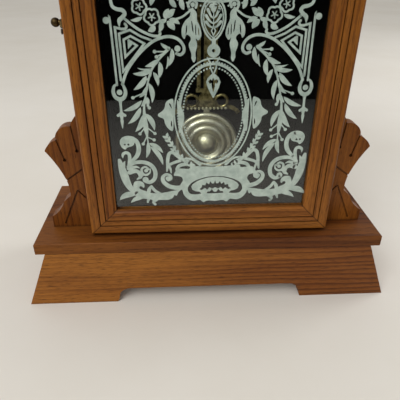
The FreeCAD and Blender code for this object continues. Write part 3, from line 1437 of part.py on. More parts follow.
def verge():
    """The strip pallets on their arbor, with the crutch wire and its eye behind the plate."""
    inner = ESCAPE_RADIUS + VERGE_GAP
    outer = inner + VERGE_BAND
    y0 = ESCAPE_WHEEL_Y + (WHEEL_THICKNESS - VERGE_WIDTH) / 2
    y1 = y0 + VERGE_WIDTH
    first = 90 - VERGE_HALF_SPAN
    last = 90 + VERGE_HALF_SPAN
    points = [
        beside(ESCAPE, inner, first),
        (beside(ESCAPE, inner, 90), beside(ESCAPE, inner, last)),
        beside(ESCAPE, outer, last),
        (beside(ESCAPE, outer, 90), beside(ESCAPE, outer, first)),
    ]
    wire_y = BACK_PLATE_BACK + CRUTCH_BEHIND_PLATE
    low = VERGE[1] - CRUTCH_LENGTH
    eye_centre = Vector(0, PENDULUM_Y, low)
    eye = Part.makeTorus(CRUTCH_EYE_RADIUS, CRUTCH_RADIUS, eye_centre, Vector(0, 0, 1))
    reach = PENDULUM_Y - CRUTCH_EYE_RADIUS - wire_y
    pieces = [
        board(points, y0, y1),
        rod(VERGE, COLLET_RADIUS, y0, y1),
        rod(VERGE, ARBOR_RADIUS, FRONT_PLATE_BACK + END_SHAKE, wire_y + CRUTCH_RADIUS),
        rod(VERGE, PIVOT_RADIUS, FRONT_PLATE_Y - PIVOT_PROUD, FRONT_PLATE_BACK + 1),
        Part.makeCylinder(CRUTCH_RADIUS, CRUTCH_LENGTH, Vector(0, wire_y, low)),
        Part.makeCylinder(CRUTCH_RADIUS, reach, Vector(0, wire_y, low), Vector(0, 1, 0)),
        Part.makeSphere(CRUTCH_RADIUS, Vector(0, wire_y, low)),
        eye,
    ]
    return joined(pieces)


def suspension_rod():
    """The flat suspension spring and the wire that the pendulum hooks onto."""
    half = SUSPENSION_SPRING_WIDTH / 2
    thin = SUSPENSION_SPRING_THICKNESS / 2
    top = VERGE[1] + 7.0
    spring_low = VERGE[1] - 12.0
    spring = block(-thin, thin, PENDULUM_Y - half, PENDULUM_Y + half, spring_low, top)
    wire_low = FRAME_TOP_HEIGHT + 1.0
    wire = Part.makeCylinder(
        SUSPENSION_ROD_RADIUS, spring_low + 2 - wire_low, Vector(0, PENDULUM_Y, wire_low)
    )
    return joined([spring, wire])


def pendulum_frame():
    """Three flat rods between two bars, over a cast yoke with two loops that holds the bob."""
    y0 = PENDULUM_Y - FRAME_ROD_THICKNESS / 2
    y1 = PENDULUM_Y + FRAME_ROD_THICKNESS / 2
    low = YOKE_HEIGHT + 6.0
    bar_half = OUTER_ROD_X + OUTER_ROD_WIDTH / 2 + 1.0
    pieces = [
        block(-bar_half, bar_half, y0, y1, FRAME_TOP_HEIGHT - FRAME_BAR_HEIGHT, FRAME_TOP_HEIGHT),
        block(-bar_half, bar_half, y0, y1, low + 9.0, low + 9.0 + FRAME_BAR_HEIGHT),
        block(-CENTRE_ROD_WIDTH / 2, CENTRE_ROD_WIDTH / 2, y0, y1, YOKE_HEIGHT, FRAME_TOP_HEIGHT),
        Part.makeCylinder(1.6, 3.0, Vector(0, PENDULUM_Y, FRAME_TOP_HEIGHT - 1)),
        yoke_plate(y0, y1),
    ]
    for side in (-1, 1):
        middle = side * OUTER_ROD_X
        half = OUTER_ROD_WIDTH / 2
        pieces.append(block(middle - half, middle + half, y0, y1, low + 9.0, FRAME_TOP_HEIGHT))
        loop = Vector(side * LOOP_X, PENDULUM_Y, YOKE_HEIGHT + LOOP_RISE)
        pieces.append(Part.makeTorus(LOOP_RADIUS, LOOP_WIRE, loop, Vector(0, 1, 0)))
    hook_hole = Part.makeCylinder(
        SUSPENSION_ROD_RADIUS + STUD_CLEARANCE, 4.0, Vector(0, PENDULUM_Y, FRAME_TOP_HEIGHT + 1.0)
    )
    return joined(pieces).cut(hook_hole)


def yoke_plate(y0, y1):
    """The yoke's bar over the bob, with a leafy rise in the middle."""
    half = YOKE_HALF_WIDTH
    low = YOKE_HEIGHT - YOKE_BAR / 2
    high = YOKE_HEIGHT + YOKE_BAR / 2
    tip = half + YOKE_LEAF
    points = [
        (-half, low),
        (half, low),
        ((half + 0.4 * YOKE_LEAF, low - 2.0), (tip - 3.0, low - 7.0)),
        (tip, low - 4.0),
        ((half + 0.55 * YOKE_LEAF, low + 1.5), (half, high)),
        (9.0, high),
        ((8.5, high + 8.0), (4.0, high + 14.0)),
        (-4.0, high + 14.0),
        ((-8.5, high + 8.0), (-9.0, high)),
        (-half, high),
        ((-half - 0.55 * YOKE_LEAF, low + 1.5), (-tip, low - 4.0)),
        (-tip + 3.0, low - 7.0),
        ((-half - 0.4 * YOKE_LEAF, low - 2.0), (-half, low)),
    ]
    return board(points, y0, y1)


# The bob's relief, from its rim inward: each step is an arc through a crest to a valley
BOB_RINGS = [
    ((32.6, 2.6), (29.4, 1.6)),
    ((25.4, 4.4), (22.0, 3.2)),
    ((18.6, 5.8), (15.4, 4.4)),
]
BOB_EDGE_RISE = 0.8
BOB_GROOVE_RISE = 3.0
BOB_DOME_RISE = 10.5


def pendulum_bob():
    """A pressed brass bob: ringed relief with a domed boss, closed by a flat back."""
    back = PENDULUM_Y + 1.6

    def spot(radius, rise):
        return Vector(radius, PENDULUM_Y - rise, BOB_HEIGHT)

    here = spot(BOB_RADIUS, BOB_EDGE_RISE)
    rim = Vector(BOB_RADIUS, back, BOB_HEIGHT)
    heart = Vector(0, back, BOB_HEIGHT)
    edges = [Part.LineSegment(heart, rim).toShape(), Part.LineSegment(rim, here).toShape()]
    for crest, valley in BOB_RINGS:
        end = spot(*valley)
        edges.append(Part.Arc(here, spot(*crest), end).toShape())
        here = end
    foot = spot(BOSS_RADIUS, BOB_GROOVE_RISE)
    top = spot(0.0, BOB_DOME_RISE)
    height = BOB_DOME_RISE - BOB_GROOVE_RISE
    sphere = (BOSS_RADIUS ** 2 + height ** 2) / (2 * height)
    half_way = math.asin(BOSS_RADIUS / sphere) / 2
    shoulder = spot(sphere * math.sin(half_way), BOB_DOME_RISE - sphere * (1 - math.cos(half_way)))
    edges.append(Part.LineSegment(here, foot).toShape())
    edges.append(Part.Arc(foot, shoulder, top).toShape())
    edges.append(Part.LineSegment(top, heart).toShape())
    bob = Part.Face(Part.Wire(edges)).revolve(heart, Vector(0, 1, 0), 360)
    neck_top = YOKE_HEIGHT - YOKE_BAR / 2
    y0 = PENDULUM_Y - BOB_EDGE_RISE
    neck = block(-3.0, 3.0, y0, PENDULUM_Y + 1, BOB_HEIGHT + BOB_RADIUS - 2, neck_top)
    return joined([bob, neck])


# Strike work

def hammer():
    """Arbor, tail, bent wire and head; the head rests just clear of the gong."""
    tail_reach = math.dist(HAMMER, PIN_ARBOR) - PIN_CIRCLE_RADIUS - LIFT_PIN_RADIUS - HAMMER_TAIL_GAP
    toward = math.degrees(direction(HAMMER, PIN_ARBOR))
    tail_end = beside(HAMMER, tail_reach - 0.6, toward)
    tail_y = CENTRE_WHEEL_Y + 2.4
    wire_y = BACK_PLATE_BACK + HAMMER_BEHIND_PLATE
    head = (-gong_outer_radius() - GONG_WIRE_RADIUS - GONG_HAMMER_GAP - HAMMER_HEAD_RADIUS, GONG_HEIGHT)
    pieces = [
        rod(HAMMER, ARBOR_RADIUS, FRONT_PLATE_BACK + END_SHAKE, wire_y + HAMMER_WIRE),
        rod(HAMMER, PIVOT_RADIUS, FRONT_PLATE_Y - PIVOT_PROUD, FRONT_PLATE_BACK + 1),
        straight_wire(HAMMER, tail_end, tail_y, 0.6),
        straight_wire(HAMMER, head, wire_y, HAMMER_WIRE),
        rod(head, HAMMER_HEAD_RADIUS, wire_y - 2.0, wire_y - 2.0 + HAMMER_HEAD_LENGTH),
    ]
    return joined(pieces)


def straight_wire(start, end, y, radius):
    dx = end[0] - start[0]
    dz = end[1] - start[1]
    return Part.makeCylinder(radius, math.hypot(dx, dz), Vector(start[0], y, start[1]), Vector(dx, 0, dz))


def gong_outer_radius():
    """How far the gong's outer turn stands from its middle, on the left."""
    return GONG_INNER_RADIUS + (GONG_TURNS - 1) * GONG_PITCH


def coil_gong():
    """A flat coil of round wire in half turns; its straight inner end is held by the base's lug."""
    growth = GONG_PITCH / 2
    centre = (0.0, GONG_HEIGHT)
    turns = spiral_half_turns(centre, GONG_INNER_RADIUS, growth, 2 * GONG_TURNS, GONG_Y)
    bend = turns[0].Vertexes[0].Point
    start = bend - Vector(0, 0, GONG_LUG_LENGTH)
    spine = Part.Wire([Part.LineSegment(start, bend).toShape()] + turns)
    circle = Part.Wire([Part.makeCircle(GONG_WIRE_RADIUS, start, Vector(0, 0, 1))])
    print("gong gap between turns", round(GONG_PITCH - 2 * GONG_WIRE_RADIUS, 2))
    return spine.makePipeShell([circle], True, False)


def gong_base():
    """A cast boss on a flange, screwed to the back board, with a lug that holds the coil."""
    centre = (0.0, GONG_HEIGHT)
    flange_y = BACK_BOARD_FRONT - GONG_FLANGE_THICKNESS
    half = GONG_WIRE_RADIUS + 1.2
    top = GONG_HEIGHT
    pieces = [
        rod(centre, GONG_BASE_RADIUS, GONG_Y - 4.0, BACK_BOARD_FRONT),
        rod(centre, GONG_FLANGE_RADIUS, flange_y, BACK_BOARD_FRONT),
        block(0, GONG_INNER_RADIUS + half, GONG_Y - half, GONG_Y + half, top - GONG_LUG_LENGTH, top),
    ]
    bore = Part.makeCylinder(
        GONG_WIRE_RADIUS + STUD_CLEARANCE,
        3 * GONG_LUG_LENGTH,
        Vector(GONG_INNER_RADIUS, GONG_Y, GONG_HEIGHT - 2 * GONG_LUG_LENGTH),
    )
    return without_screws(joined(pieces).cut(bore), gong_screws())


# Build every piece

def build():
    os.makedirs("parts", exist_ok=True)
    save("front_apron", front_apron())
    save("right_apron", right_apron())
    save("left_apron", mirrored(right_apron()))
    save("platform", platform())
    save("right_case_side", right_case_side())
    save("left_case_side", left_case_side())
    save("back_board", back_board())
    save("case_cap", case_cap())
    save("right_wing", right_wing())
    save("left_wing", mirrored(right_wing()))
    save("crown", crown())
    save("door_right_stile", door_right_stile_with_pockets())
    save("door_left_stile", door_left_stile())
    save("door_bottom_rail", door_bottom_rail())
    save("door_top_rail", door_top_rail())
    save("door_glass", door_glass())
    save("glass_beads", glass_beads())
    save("door_hinge_leaves", Part.makeCompound(door_hinge_leaves()))
    save("case_hinge_leaves", Part.makeCompound(case_hinge_leaves()))
    save("hinge_pins", Part.makeCompound(hinge_pins()))
    save("door_screws", Part.makeCompound([screw(p, d) for p, d in DOOR_SCREWS]))
    case_screws = CASE_SCREWS + dial_screws() + gong_screws()
    save("case_screws", Part.makeCompound([screw(p, d) for p, d in case_screws]))
    save("latch_hook", latch_hook())
    save("latch_screw", latch_screw())
    save("dial_supports", Part.makeCompound(dial_supports()))
    save("dial_pan", dial_pan())
    save("dial_bezel", dial_bezel())
    save("hour_hand", hour_hand())
    save("minute_hand", minute_hand())
    save("hand_nut", hand_nut())
    save("front_plate", front_plate())
    save("back_plate", back_plate())
    save("plate_pillars", Part.makeCompound(plate_pillars()))
    save("plate_nuts", Part.makeCompound(plate_nuts()))
    save("movement_posts", Part.makeCompound(movement_posts()))
    save("centre_arbor", centre_arbor())
    save("minute_wheel", minute_wheel())
    save("hour_wheel", hour_wheel())
    save("time_great_wheel", great_wheel(TIME_GREAT))
    save("time_winding_arbor", winding_arbor(TIME_GREAT))
    save("time_mainspring", mainspring(TIME_GREAT))
    save("time_second_wheel", time_second_wheel())
    save("third_wheel", third_wheel())
    save("escape_wheel", escape_wheel())
    save("verge", verge())
    save("suspension_rod", suspension_rod())
    save("pendulum_frame", pendulum_frame())
    save("pendulum_bob", pendulum_bob())
    save("strike_great_wheel", great_wheel(STRIKE_GREAT))
    save("strike_winding_arbor", winding_arbor(STRIKE_GREAT))
    save("strike_mainspring", mainspring(STRIKE_GREAT))
    save("strike_second_wheel", strike_second_wheel())
    save("pin_wheel", pin_wheel())
    save("warning_wheel", warning_wheel())
    save("fly", fly())
    save("count_wheel", count_wheel())
    save("hammer", hammer())
    save("coil_gong", coil_gong())
    save("gong_base", gong_base())


build()
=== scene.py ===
"""The gingerbread clock dressed for the eye: woods, glass, painted ornament, dial and metals.

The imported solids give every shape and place. This script adds the ornament painted on the
door's glass, the dial's figures and the pendulum's pearls, gives every surface its finish,
and sets up the studio and the camera.
"""

from __future__ import annotations

import logging
import math
from dataclasses import dataclass
from enum import Enum
from typing import Any

import bmesh
import bpy
from mathutils import Matrix, Vector


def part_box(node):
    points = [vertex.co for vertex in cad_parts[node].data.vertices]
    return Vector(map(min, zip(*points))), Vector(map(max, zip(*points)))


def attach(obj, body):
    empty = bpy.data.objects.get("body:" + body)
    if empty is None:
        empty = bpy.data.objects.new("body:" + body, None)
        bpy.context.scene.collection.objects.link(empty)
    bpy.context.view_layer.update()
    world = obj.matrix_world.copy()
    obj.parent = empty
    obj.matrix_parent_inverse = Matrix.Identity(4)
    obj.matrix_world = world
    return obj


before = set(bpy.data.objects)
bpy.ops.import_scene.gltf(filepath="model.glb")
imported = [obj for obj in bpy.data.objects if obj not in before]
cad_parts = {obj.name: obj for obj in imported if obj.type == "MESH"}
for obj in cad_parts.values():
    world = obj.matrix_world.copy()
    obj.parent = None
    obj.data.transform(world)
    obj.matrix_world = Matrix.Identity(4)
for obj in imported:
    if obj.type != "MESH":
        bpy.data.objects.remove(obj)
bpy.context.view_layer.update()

MM = 0.001

Tree = bpy.types.NodeTree
Node = bpy.types.Node
Socket = bpy.types.NodeSocket
Material = bpy.types.Material
Piece = bpy.types.Object
Triple = tuple[float, float, float]
Point = tuple[float, ...]
Line = list[Point]

log = logging.getLogger("clock")


# Small helpers

def linear(code: str) -> tuple[float, float, float, float]:
    """Turns an sRGB colour into linear light.

    Args:
        code: The colour as a hex code such as "#7d4a22".

    Returns:
        Red, green, blue and an alpha of 1.
    """
    channels = [int(code[place:place + 2], 16) / 255 for place in (1, 3, 5)]
    light = [c / 12.92 if c <= 0.04045 else ((c + 0.055) / 1.055) ** 2.4 for c in channels]
    return (light[0], light[1], light[2], 1.0)


def add_node(tree: Tree, kind: str, inputs: dict[Any, Any] | None = None, **settings: Any) -> Node:
    """Adds a node with its settings, values and links.

    Args:
        tree: The tree that gets the node.
        kind: The node's type name.
        inputs: Socket name or number, and the value or the socket that feeds it.
        **settings: The node's own properties.

    Returns:
        The new node.
    """
    node = tree.nodes.new(kind)
    for name, value in settings.items():
        setattr(node, name, value)
    for key, value in (inputs or {}).items():
        if isinstance(value, Socket):
            tree.links.new(value, node.inputs[key])
        else:
            node.inputs[key].default_value = value
    return node


def new_object(name: str, mesh: bpy.types.Mesh) -> Piece:
    """Puts a mesh into the scene as an object at the origin.

    Args:
        name: The piece's name.
        mesh: Its mesh, already in place.

    Returns:
        The object.
    """
    piece = bpy.data.objects.new(name, mesh)
    bpy.context.scene.collection.objects.link(piece)
    return piece


def dress(material: Material, *names: str) -> None:
    """Gives solids their finish.

    Args:
        material: The finish.
        *names: The solids that get it.
    """
    for name in names:
        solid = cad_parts[name]
        if not solid.material_slots:
            solid.data.materials.append(material)
        for place in solid.material_slots:
            place.material = material


# Places of a Mix node's colour sockets
MIX_SHARE, MIX_FROM, MIX_TO, MIX_COLOUR = 0, 6, 7, 2


# Finishes

# Growth rings lie aslant in a board: how quickly they follow each other through its other side
RING_ASLANT = 0.55


class Grain(Enum):
    """The way a board's fibres run."""

    ALONG_X = 0
    ALONG_Y = 1
    ALONG_Z = 2

    def stretch(self, across: float, along: float) -> Triple:
        """Works out a pattern's scale.

        Args:
            across: Size of the pattern across the fibres, in millimetres.
            along: Its size along them.

        Returns:
            The scale along x, y and z, per metre.
        """
        scales = [1 / (across * MM)] * 3
        scales[self.value] = 1 / (along * MM)
        return (scales[0], scales[1], scales[2])

    def across(self, spacing: float) -> Triple:
        """Works out a direction square to the fibres, as long as one over the spacing, per metre."""
        parts = [RING_ASLANT / (spacing * MM)] * 3
        parts[2 if self is not Grain.ALONG_Z else 0] = 1 / (spacing * MM)
        parts[self.value] = 0.0
        return (parts[0], parts[1], parts[2])


@dataclass(frozen=True)
class Finish:
    """What every finish has: a name and how glossy it is."""

    name: str
    roughness: float = 0.5

    def make(self) -> Material:
        """Makes the material.

        Returns:
            The material, with its nodes.
        """
        material = bpy.data.materials.new(self.name)
        material.use_nodes = True
        tree = material.node_tree
        shader = tree.nodes["Principled BSDF"]
        shader.inputs["Roughness"].default_value = self.roughness
        place = add_node(tree, "ShaderNodeTexCoord").outputs["Object"]
        self.shade(tree, shader, place)
        return material

    def shade(self, tree: Tree, shader: Node, place: Socket) -> None:
        """Adds the finish's own nodes.

        Args:
            tree: The material's tree.
            shader: Its shader.
            place: The point's place in the clock.
        """

    def overpaint(self, tree: Tree, place: Socket, colour: Socket) -> Socket:
        """Leaves the colour as it is; a finish that carries something more changes this.

        Args:
            tree: The material's tree.
            place: The point's place.
            colour: The finish's own colour.

        Returns:
            The colour that the eye gets.
        """
        return colour

    def layered(self, tree: Tree, ground: Any, *layers: tuple[Socket, str]) -> Socket:
        """Lays colours over one another.

        Args:
            tree: The material's tree.
            ground: The undermost colour.
            *layers: For each colour above it, the share that it covers and its hex code.

        Returns:
            The colour that shows.
        """
        colour = ground
        for share, code in layers:
            colour = add_node(tree, "ShaderNodeMix", {
                MIX_SHARE: share, MIX_FROM: colour, MIX_TO: linear(code),
            }, data_type="RGBA").outputs[MIX_COLOUR]
        return colour


@dataclass(frozen=True)
class Wood(Finish):
    """Sawn and planed board under rubbed shellac.

    Broad bands of colour follow the growth rings, fine dark pores run with the fibres, and
    the grooves darken with old polish and dust, and with painted shade where the wood is
    closed in.
    """

    grain: Grain = Grain.ALONG_X
    light: str = "#996024"
    middle: str = "#784416"
    dark: str = "#4a2308"
    pore: str = "#2a1206"
    # Colour of the dirt and painted shade in the grooves, and of the glue line at a mitre
    dirt_and_shade: str = "#271204"
    # A pattern has its size across the fibres and along them, in millimetres, and its finer layers
    clouds: Triple = (24.0, 240.0, 3.0)
    wobble: Triple = (30.0, 420.0, 2.0)
    streaks: Triple = (1.0, 42.0, 4.0)
    # Real pores are 0.2 mm wide; they are drawn coarser so that they show
    pores: Triple = (0.55, 9.0, 2.0)
    ring_spacing: float = 6.0
    ring_bend: float = 3.4
    ring_strength: float = 0.75
    faded_ring: float = 0.15
    streak_strength: float = 0.3
    # Painted shade on one side: how much darker the board gets towards +x, per metre
    painted_side_shade: float = 0.0
    pore_strength: float = 0.75
    pore_depth: float = 0.12
    pore_roughness: float = 0.62
    # Painted shade with dirt in the grooves: how far the occlusion node looks, and how dark it paints
    groove_reach: float = 4.0
    groove_dirt_and_shade: float = 0.7
    gloss_coat: float = 0.07
    coat_roughness: float = 0.22
    specular: float = 0.16

    def shade(self, tree: Tree, shader: Node, place: Socket) -> None:
        """Adds clouds, rings, streaks, pores, painted shade with dirt, and coat; see Finish.shade for the
        arguments.
        """
        aside = add_node(tree, "ShaderNodeSeparateXYZ", {0: place}).outputs["X"]
        clouds = self.pattern(tree, place, self.clouds)
        # The broad tone takes the painted side shade, so the board darkens towards +x
        broad = add_node(
            tree, "ShaderNodeMath", {0: aside, 1: self.painted_side_shade, 2: clouds}, operation="MULTIPLY_ADD"
        ).outputs[0]
        streaks = self.pattern(tree, place, self.streaks)
        pores = self.pattern(tree, place, self.pores)
        # Painted shade with dirt: the darker, the more the occlusion node finds the wood closed in
        open_air = add_node(
            tree, "ShaderNodeAmbientOcclusion", {"Distance": self.groove_reach * MM}, samples=6
        ).outputs["AO"]
        # A ramp has its pattern, the stretch of the pattern that it reads, and what it gives at the ends
        ramps = [
            (broad, 0.35, 0.65, 0.0, 1.0),
            (streaks, 0.42, 0.68, 0.0, self.streak_strength),
            (pores, 0.54, 0.72, 0.0, self.pore_strength),
            (open_air, 0.35, 0.85, self.groove_dirt_and_shade, 0.0),
            (pores, 0.4, 0.7, self.roughness, self.pore_roughness),
        ]
        tone, streak, pit, dust_and_shade, sheen = [
            add_node(tree, "ShaderNodeMapRange", dict(enumerate(ramp))).outputs[0] for ramp in ramps
        ]
        rings = self.rings(tree, place, broad)
        colour = self.layered(
            tree, linear(self.light), (tone, self.middle), (rings, self.dark), (streak, self.dark),
            (pit, self.pore), (dust_and_shade, self.dirt_and_shade),
        )
        colour = self.overpaint(tree, place, colour)
        tree.links.new(colour, shader.inputs["Base Color"])
        tree.links.new(sheen, shader.inputs["Roughness"])
        depth = add_node(tree, "ShaderNodeMath", {0: 0.0, 1: pit}, operation="SUBTRACT").outputs[0]
        bump = add_node(tree, "ShaderNodeBump", {
            "Height": depth, "Distance": self.pore_depth * MM, "Strength": 0.7,
        })
        tree.links.new(bump.outputs["Normal"], shader.inputs["Normal"])
        shader.inputs["Specular IOR Level"].default_value = self.specular
        shader.inputs["Coat Weight"].default_value = self.gloss_coat
        shader.inputs["Coat Roughness"].default_value = self.coat_roughness

    def rings(self, tree: Tree, place: Socket, broad: Socket) -> Socket:
        """Adds growth rings that wander, and that fade in and out along a board.

        Args:
            tree: The material's tree.
            place: The point's place.
            broad: The broad pattern that they fade with.

        Returns:
            The share of dark late wood.
        """
        wobble = self.pattern(tree, place, self.wobble)
        direction = self.grain.across(self.ring_spacing)
        count = add_node(tree, "ShaderNodeVectorMath", {0: place, 1: direction}, operation="DOT_PRODUCT")
        bent = add_node(tree, "ShaderNodeMath", {
            0: wobble, 1: self.ring_bend, 2: count.outputs["Value"],
        }, operation="MULTIPLY_ADD")
        ring = add_node(tree, "ShaderNodeMath", {0: bent.outputs[0]}, operation="FRACT").outputs[0]
        late = add_node(tree, "ShaderNodeMapRange", {
            "Value": ring, "From Min": 0.35, "From Max": 0.95, "To Max": self.ring_strength,
        }, interpolation_type="SMOOTHSTEP").outputs[0]
        patchy = add_node(tree, "ShaderNodeMapRange", {
            "Value": broad, "From Min": 0.38, "From Max": 0.62, "To Min": self.faded_ring,
        }).outputs[0]
        return add_node(tree, "ShaderNodeMath", {0: late, 1: patchy}, operation="MULTIPLY").outputs[0]

    def pattern(self, tree: Tree, place: Socket, size: Triple) -> Socket:
        """Adds a cloudy pattern drawn out along the fibres.

        Args:
            tree: The material's tree.
            place: The point's place.
            size: The pattern's size across and along the fibres, and its finer layers.

        Returns:
            The pattern's value, about 0.5 in the middle.
        """
        across, along, detail = size
        scaled = add_node(tree, "ShaderNodeMapping", {
            "Vector": place, "Scale": self.grain.stretch(across, along),
        })
        noise = add_node(tree, "ShaderNodeTexNoise", {
            "Vector": scaled.outputs[0], "Scale": 1.0, "Detail": detail, "Roughness": 0.55,
        })
        return noise.outputs["Fac"]


@dataclass(frozen=True)
class MitredWood(Wood):
    """Frame moulding cut at 45 degrees and glued: a dark hairline shows at each corner."""

    half_width: float = 0.0
    low_edge: float = 0.0
    high_edge: float = 0.0
    line_width: float = 0.35
    line_strength: float = 0.75

    def overpaint(self, tree: Tree, place: Socket, colour: Socket) -> Socket:
        """Darkens the points as far from the frame's side as from its end; see Finish.overpaint."""
        axes = add_node(tree, "ShaderNodeSeparateXYZ", {0: place}).outputs
        aside = add_node(tree, "ShaderNodeMath", {0: axes["X"]}, operation="ABSOLUTE").outputs[0]
        ends = [(self.half_width, aside), (axes["Z"], self.low_edge), (self.high_edge, axes["Z"])]
        side, low, high = [
            add_node(tree, "ShaderNodeMath", {0: far, 1: near}, operation="SUBTRACT").outputs[0]
            for far, near in ends
        ]
        end = add_node(tree, "ShaderNodeMath", {0: low, 1: high}, operation="MINIMUM").outputs[0]
        away = add_node(tree, "ShaderNodeMath", {0: side, 1: end}, operation="SUBTRACT").outputs[0]
        away = add_node(tree, "ShaderNodeMath", {0: away}, operation="ABSOLUTE").outputs[0]
        share = add_node(tree, "ShaderNodeMapRange", {
            "Value": away, "From Min": self.line_width * MM, "From Max": 2.2 * self.line_width * MM,
            "To Min": self.line_strength, "To Max": 0.0,
        }).outputs[0]
        return self.layered(tree, colour, (share, self.dirt_and_shade))


@dataclass(frozen=True)
class ShadedInsideWood(Wood):
    """Board whose inner face gets flat black painted shade, standing for the dim closed case, so that the
    door's glass looks dark.
    """

    inner_low: Triple = (0.0, 0.0, 0.0)
    inner_high: Triple = (0.0, 0.0, 0.0)
    # Flat black painted shade on the faces inside the case
    paint: str = "#060505"

    def overpaint(self, tree: Tree, place: Socket, colour: Socket) -> Socket:
        """Paints flat black shade on the points that face the case's hollow; see Finish.overpaint."""
        centre = [(a + b) / 2 for a, b in zip(self.inner_low, self.inner_high)]
        half = [(b - a) / 2 for a, b in zip(self.inner_low, self.inner_high)]
        off = add_node(tree, "ShaderNodeVectorMath", {0: place, 1: centre}, operation="SUBTRACT").outputs[0]
        off = add_node(tree, "ShaderNodeVectorMath", {0: off}, operation="ABSOLUTE").outputs[0]
        axes = add_node(tree, "ShaderNodeSeparateXYZ", {0: off}).outputs
        share: Any = 1.0
        for axis, reach in zip(axes, half):
            near = add_node(tree, "ShaderNodeMath", {0: axis, 1: reach}, operation="LESS_THAN").outputs[0]
            share = add_node(tree, "ShaderNodeMath", {0: near, 1: share}, operation="MULTIPLY").outputs[0]
        return self.layered(tree, colour, (share, self.paint))


@dataclass(frozen=True)
class Metal(Finish):
    """Bare or lacquered metal with the marks of its making and of age."""

    clean: str = "#b59a5c"
    stain: str = "#6e5f3a"
    patch: float = 9.0
    patch_blur: float = 0.14
    stained_share: float = 0.5
    stained_roughness: float = 0.45
    mark_width: float = 0.5
    mark_length: float = 12.0
    mark_depth: float = 0.02
    grain: Grain = Grain.ALONG_X
    # Painted shade with dirt in the hollows: how far the occlusion node looks, its colour and how dark it
    # paints
    groove_reach: float = 2.5
    dirt_and_shade: str = "#2a2416"
    dirt_and_shade_share: float = 0.5

    def shade(self, tree: Tree, shader: Node, place: Socket) -> None:
        """Adds stain patches, painted shade with dirt in the hollows, and fine marks; see Finish.shade for
        the arguments.
        """
        shader.inputs["Metallic"].default_value = 1.0
        cloud = add_node(tree, "ShaderNodeTexNoise", {
            "Vector": place, "Scale": 1 / (self.patch * MM), "Detail": 6.0, "Roughness": 0.62,
        }).outputs["Fac"]
        # The noise stays near its middle, so a small shift of its threshold changes the share much
        middle = 0.5 + 0.3 * (0.5 - self.stained_share)
        share = add_node(tree, "ShaderNodeMapRange", {
            "Value": cloud, "From Min": middle - self.patch_blur, "From Max": middle + self.patch_blur,
        }).outputs[0]
        # Painted shade with dirt: darker where the occlusion node finds the metal closed in
        open_air = add_node(
            tree, "ShaderNodeAmbientOcclusion", {"Distance": self.groove_reach * MM}, samples=6
        ).outputs["AO"]
        dust_and_shade = add_node(tree, "ShaderNodeMapRange", {
            "Value": open_air, "From Min": 0.4, "From Max": 0.9, "To Min": self.dirt_and_shade_share, "To Max": 0.0,
        }).outputs[0]
        colour = self.layered(tree, linear(self.clean), (share, self.stain), (dust_and_shade, self.dirt_and_shade))
        tree.links.new(colour, shader.inputs["Base Color"])
        gloss = add_node(tree, "ShaderNodeMapRange", {
            "Value": share, "To Min": self.roughness, "To Max": self.stained_roughness,
        }).outputs[0]
        tree.links.new(gloss, shader.inputs["Roughness"])
        size = self.grain.stretch(self.mark_width, self.mark_length * self.mark_width)
        scaled = add_node(tree, "ShaderNodeMapping", {"Vector": place, "Scale": size}).outputs[0]
        marks = add_node(tree, "ShaderNodeTexNoise", {"Vector": scaled, "Scale": 1.0, "Detail": 2.0})
        bump = add_node(tree, "ShaderNodeBump", {
            "Height": marks.outputs["Fac"], "Distance": self.mark_depth * MM, "Strength": 0.5,
        })
        tree.links.new(bump.outputs["Normal"], shader.inputs["Normal"])


@dataclass(frozen=True)
class Paint(Finish):
    """An opaque coat: enamel, japan black or a painted ornament, cloudy where it is thin."""

    colour: str = "#c0c0c0"
    thin: str = "#a0a0a0"
    patch: float = 6.0
    speck: float = 0.8
    speck_depth: float = 0.03

    def shade(self, tree: Tree, shader: Node, place: Socket) -> None:
        """Adds cloudiness and a faint orange peel; see Finish.shade for the arguments."""
        cloud = add_node(tree, "ShaderNodeTexNoise", {
            "Vector": place, "Scale": 1 / (self.patch * MM), "Detail": 5.0, "Roughness": 0.6,
        }).outputs["Fac"]
        share = add_node(tree, "ShaderNodeMapRange", {
            "Value": cloud, "From Min": 0.35, "From Max": 0.7,
        }).outputs[0]
        colour = self.layered(tree, linear(self.colour), (share, self.thin))
        colour = self.overpaint(tree, place, colour)
        tree.links.new(colour, shader.inputs["Base Color"])
        peel = add_node(tree, "ShaderNodeTexNoise", {
            "Vector": place, "Scale": 1 / (self.speck * MM), "Detail": 2.0,
        })
        bump = add_node(tree, "ShaderNodeBump", {
            "Height": peel.outputs["Fac"], "Distance": self.speck_depth * MM, "Strength": 0.4,
        })
        tree.links.new(bump.outputs["Normal"], shader.inputs["Normal"])


@dataclass(frozen=True)
class Cloth(Paint):
    """Plain cloth that falls off into shade towards its front edge, where less light reaches it."""

    shade_colour: str = "#000000"
    shade_start: float = -0.2
    shade_end: float = -0.76
    shade_depth: float = 0.78

    def overpaint(self, tree: Tree, place: Socket, colour: Socket) -> Socket:
        """Darkens the cloth towards its front edge; see Finish.overpaint."""
        forward = add_node(tree, "ShaderNodeSeparateXYZ", {0: place}).outputs["Y"]
        share = add_node(tree, "ShaderNodeMapRange", {
            "Value": forward, "From Min": self.shade_start, "From Max": self.shade_end,
            "To Max": self.shade_depth,
        }).outputs[0]
        return self.layered(tree, colour, (share, self.shade_colour))


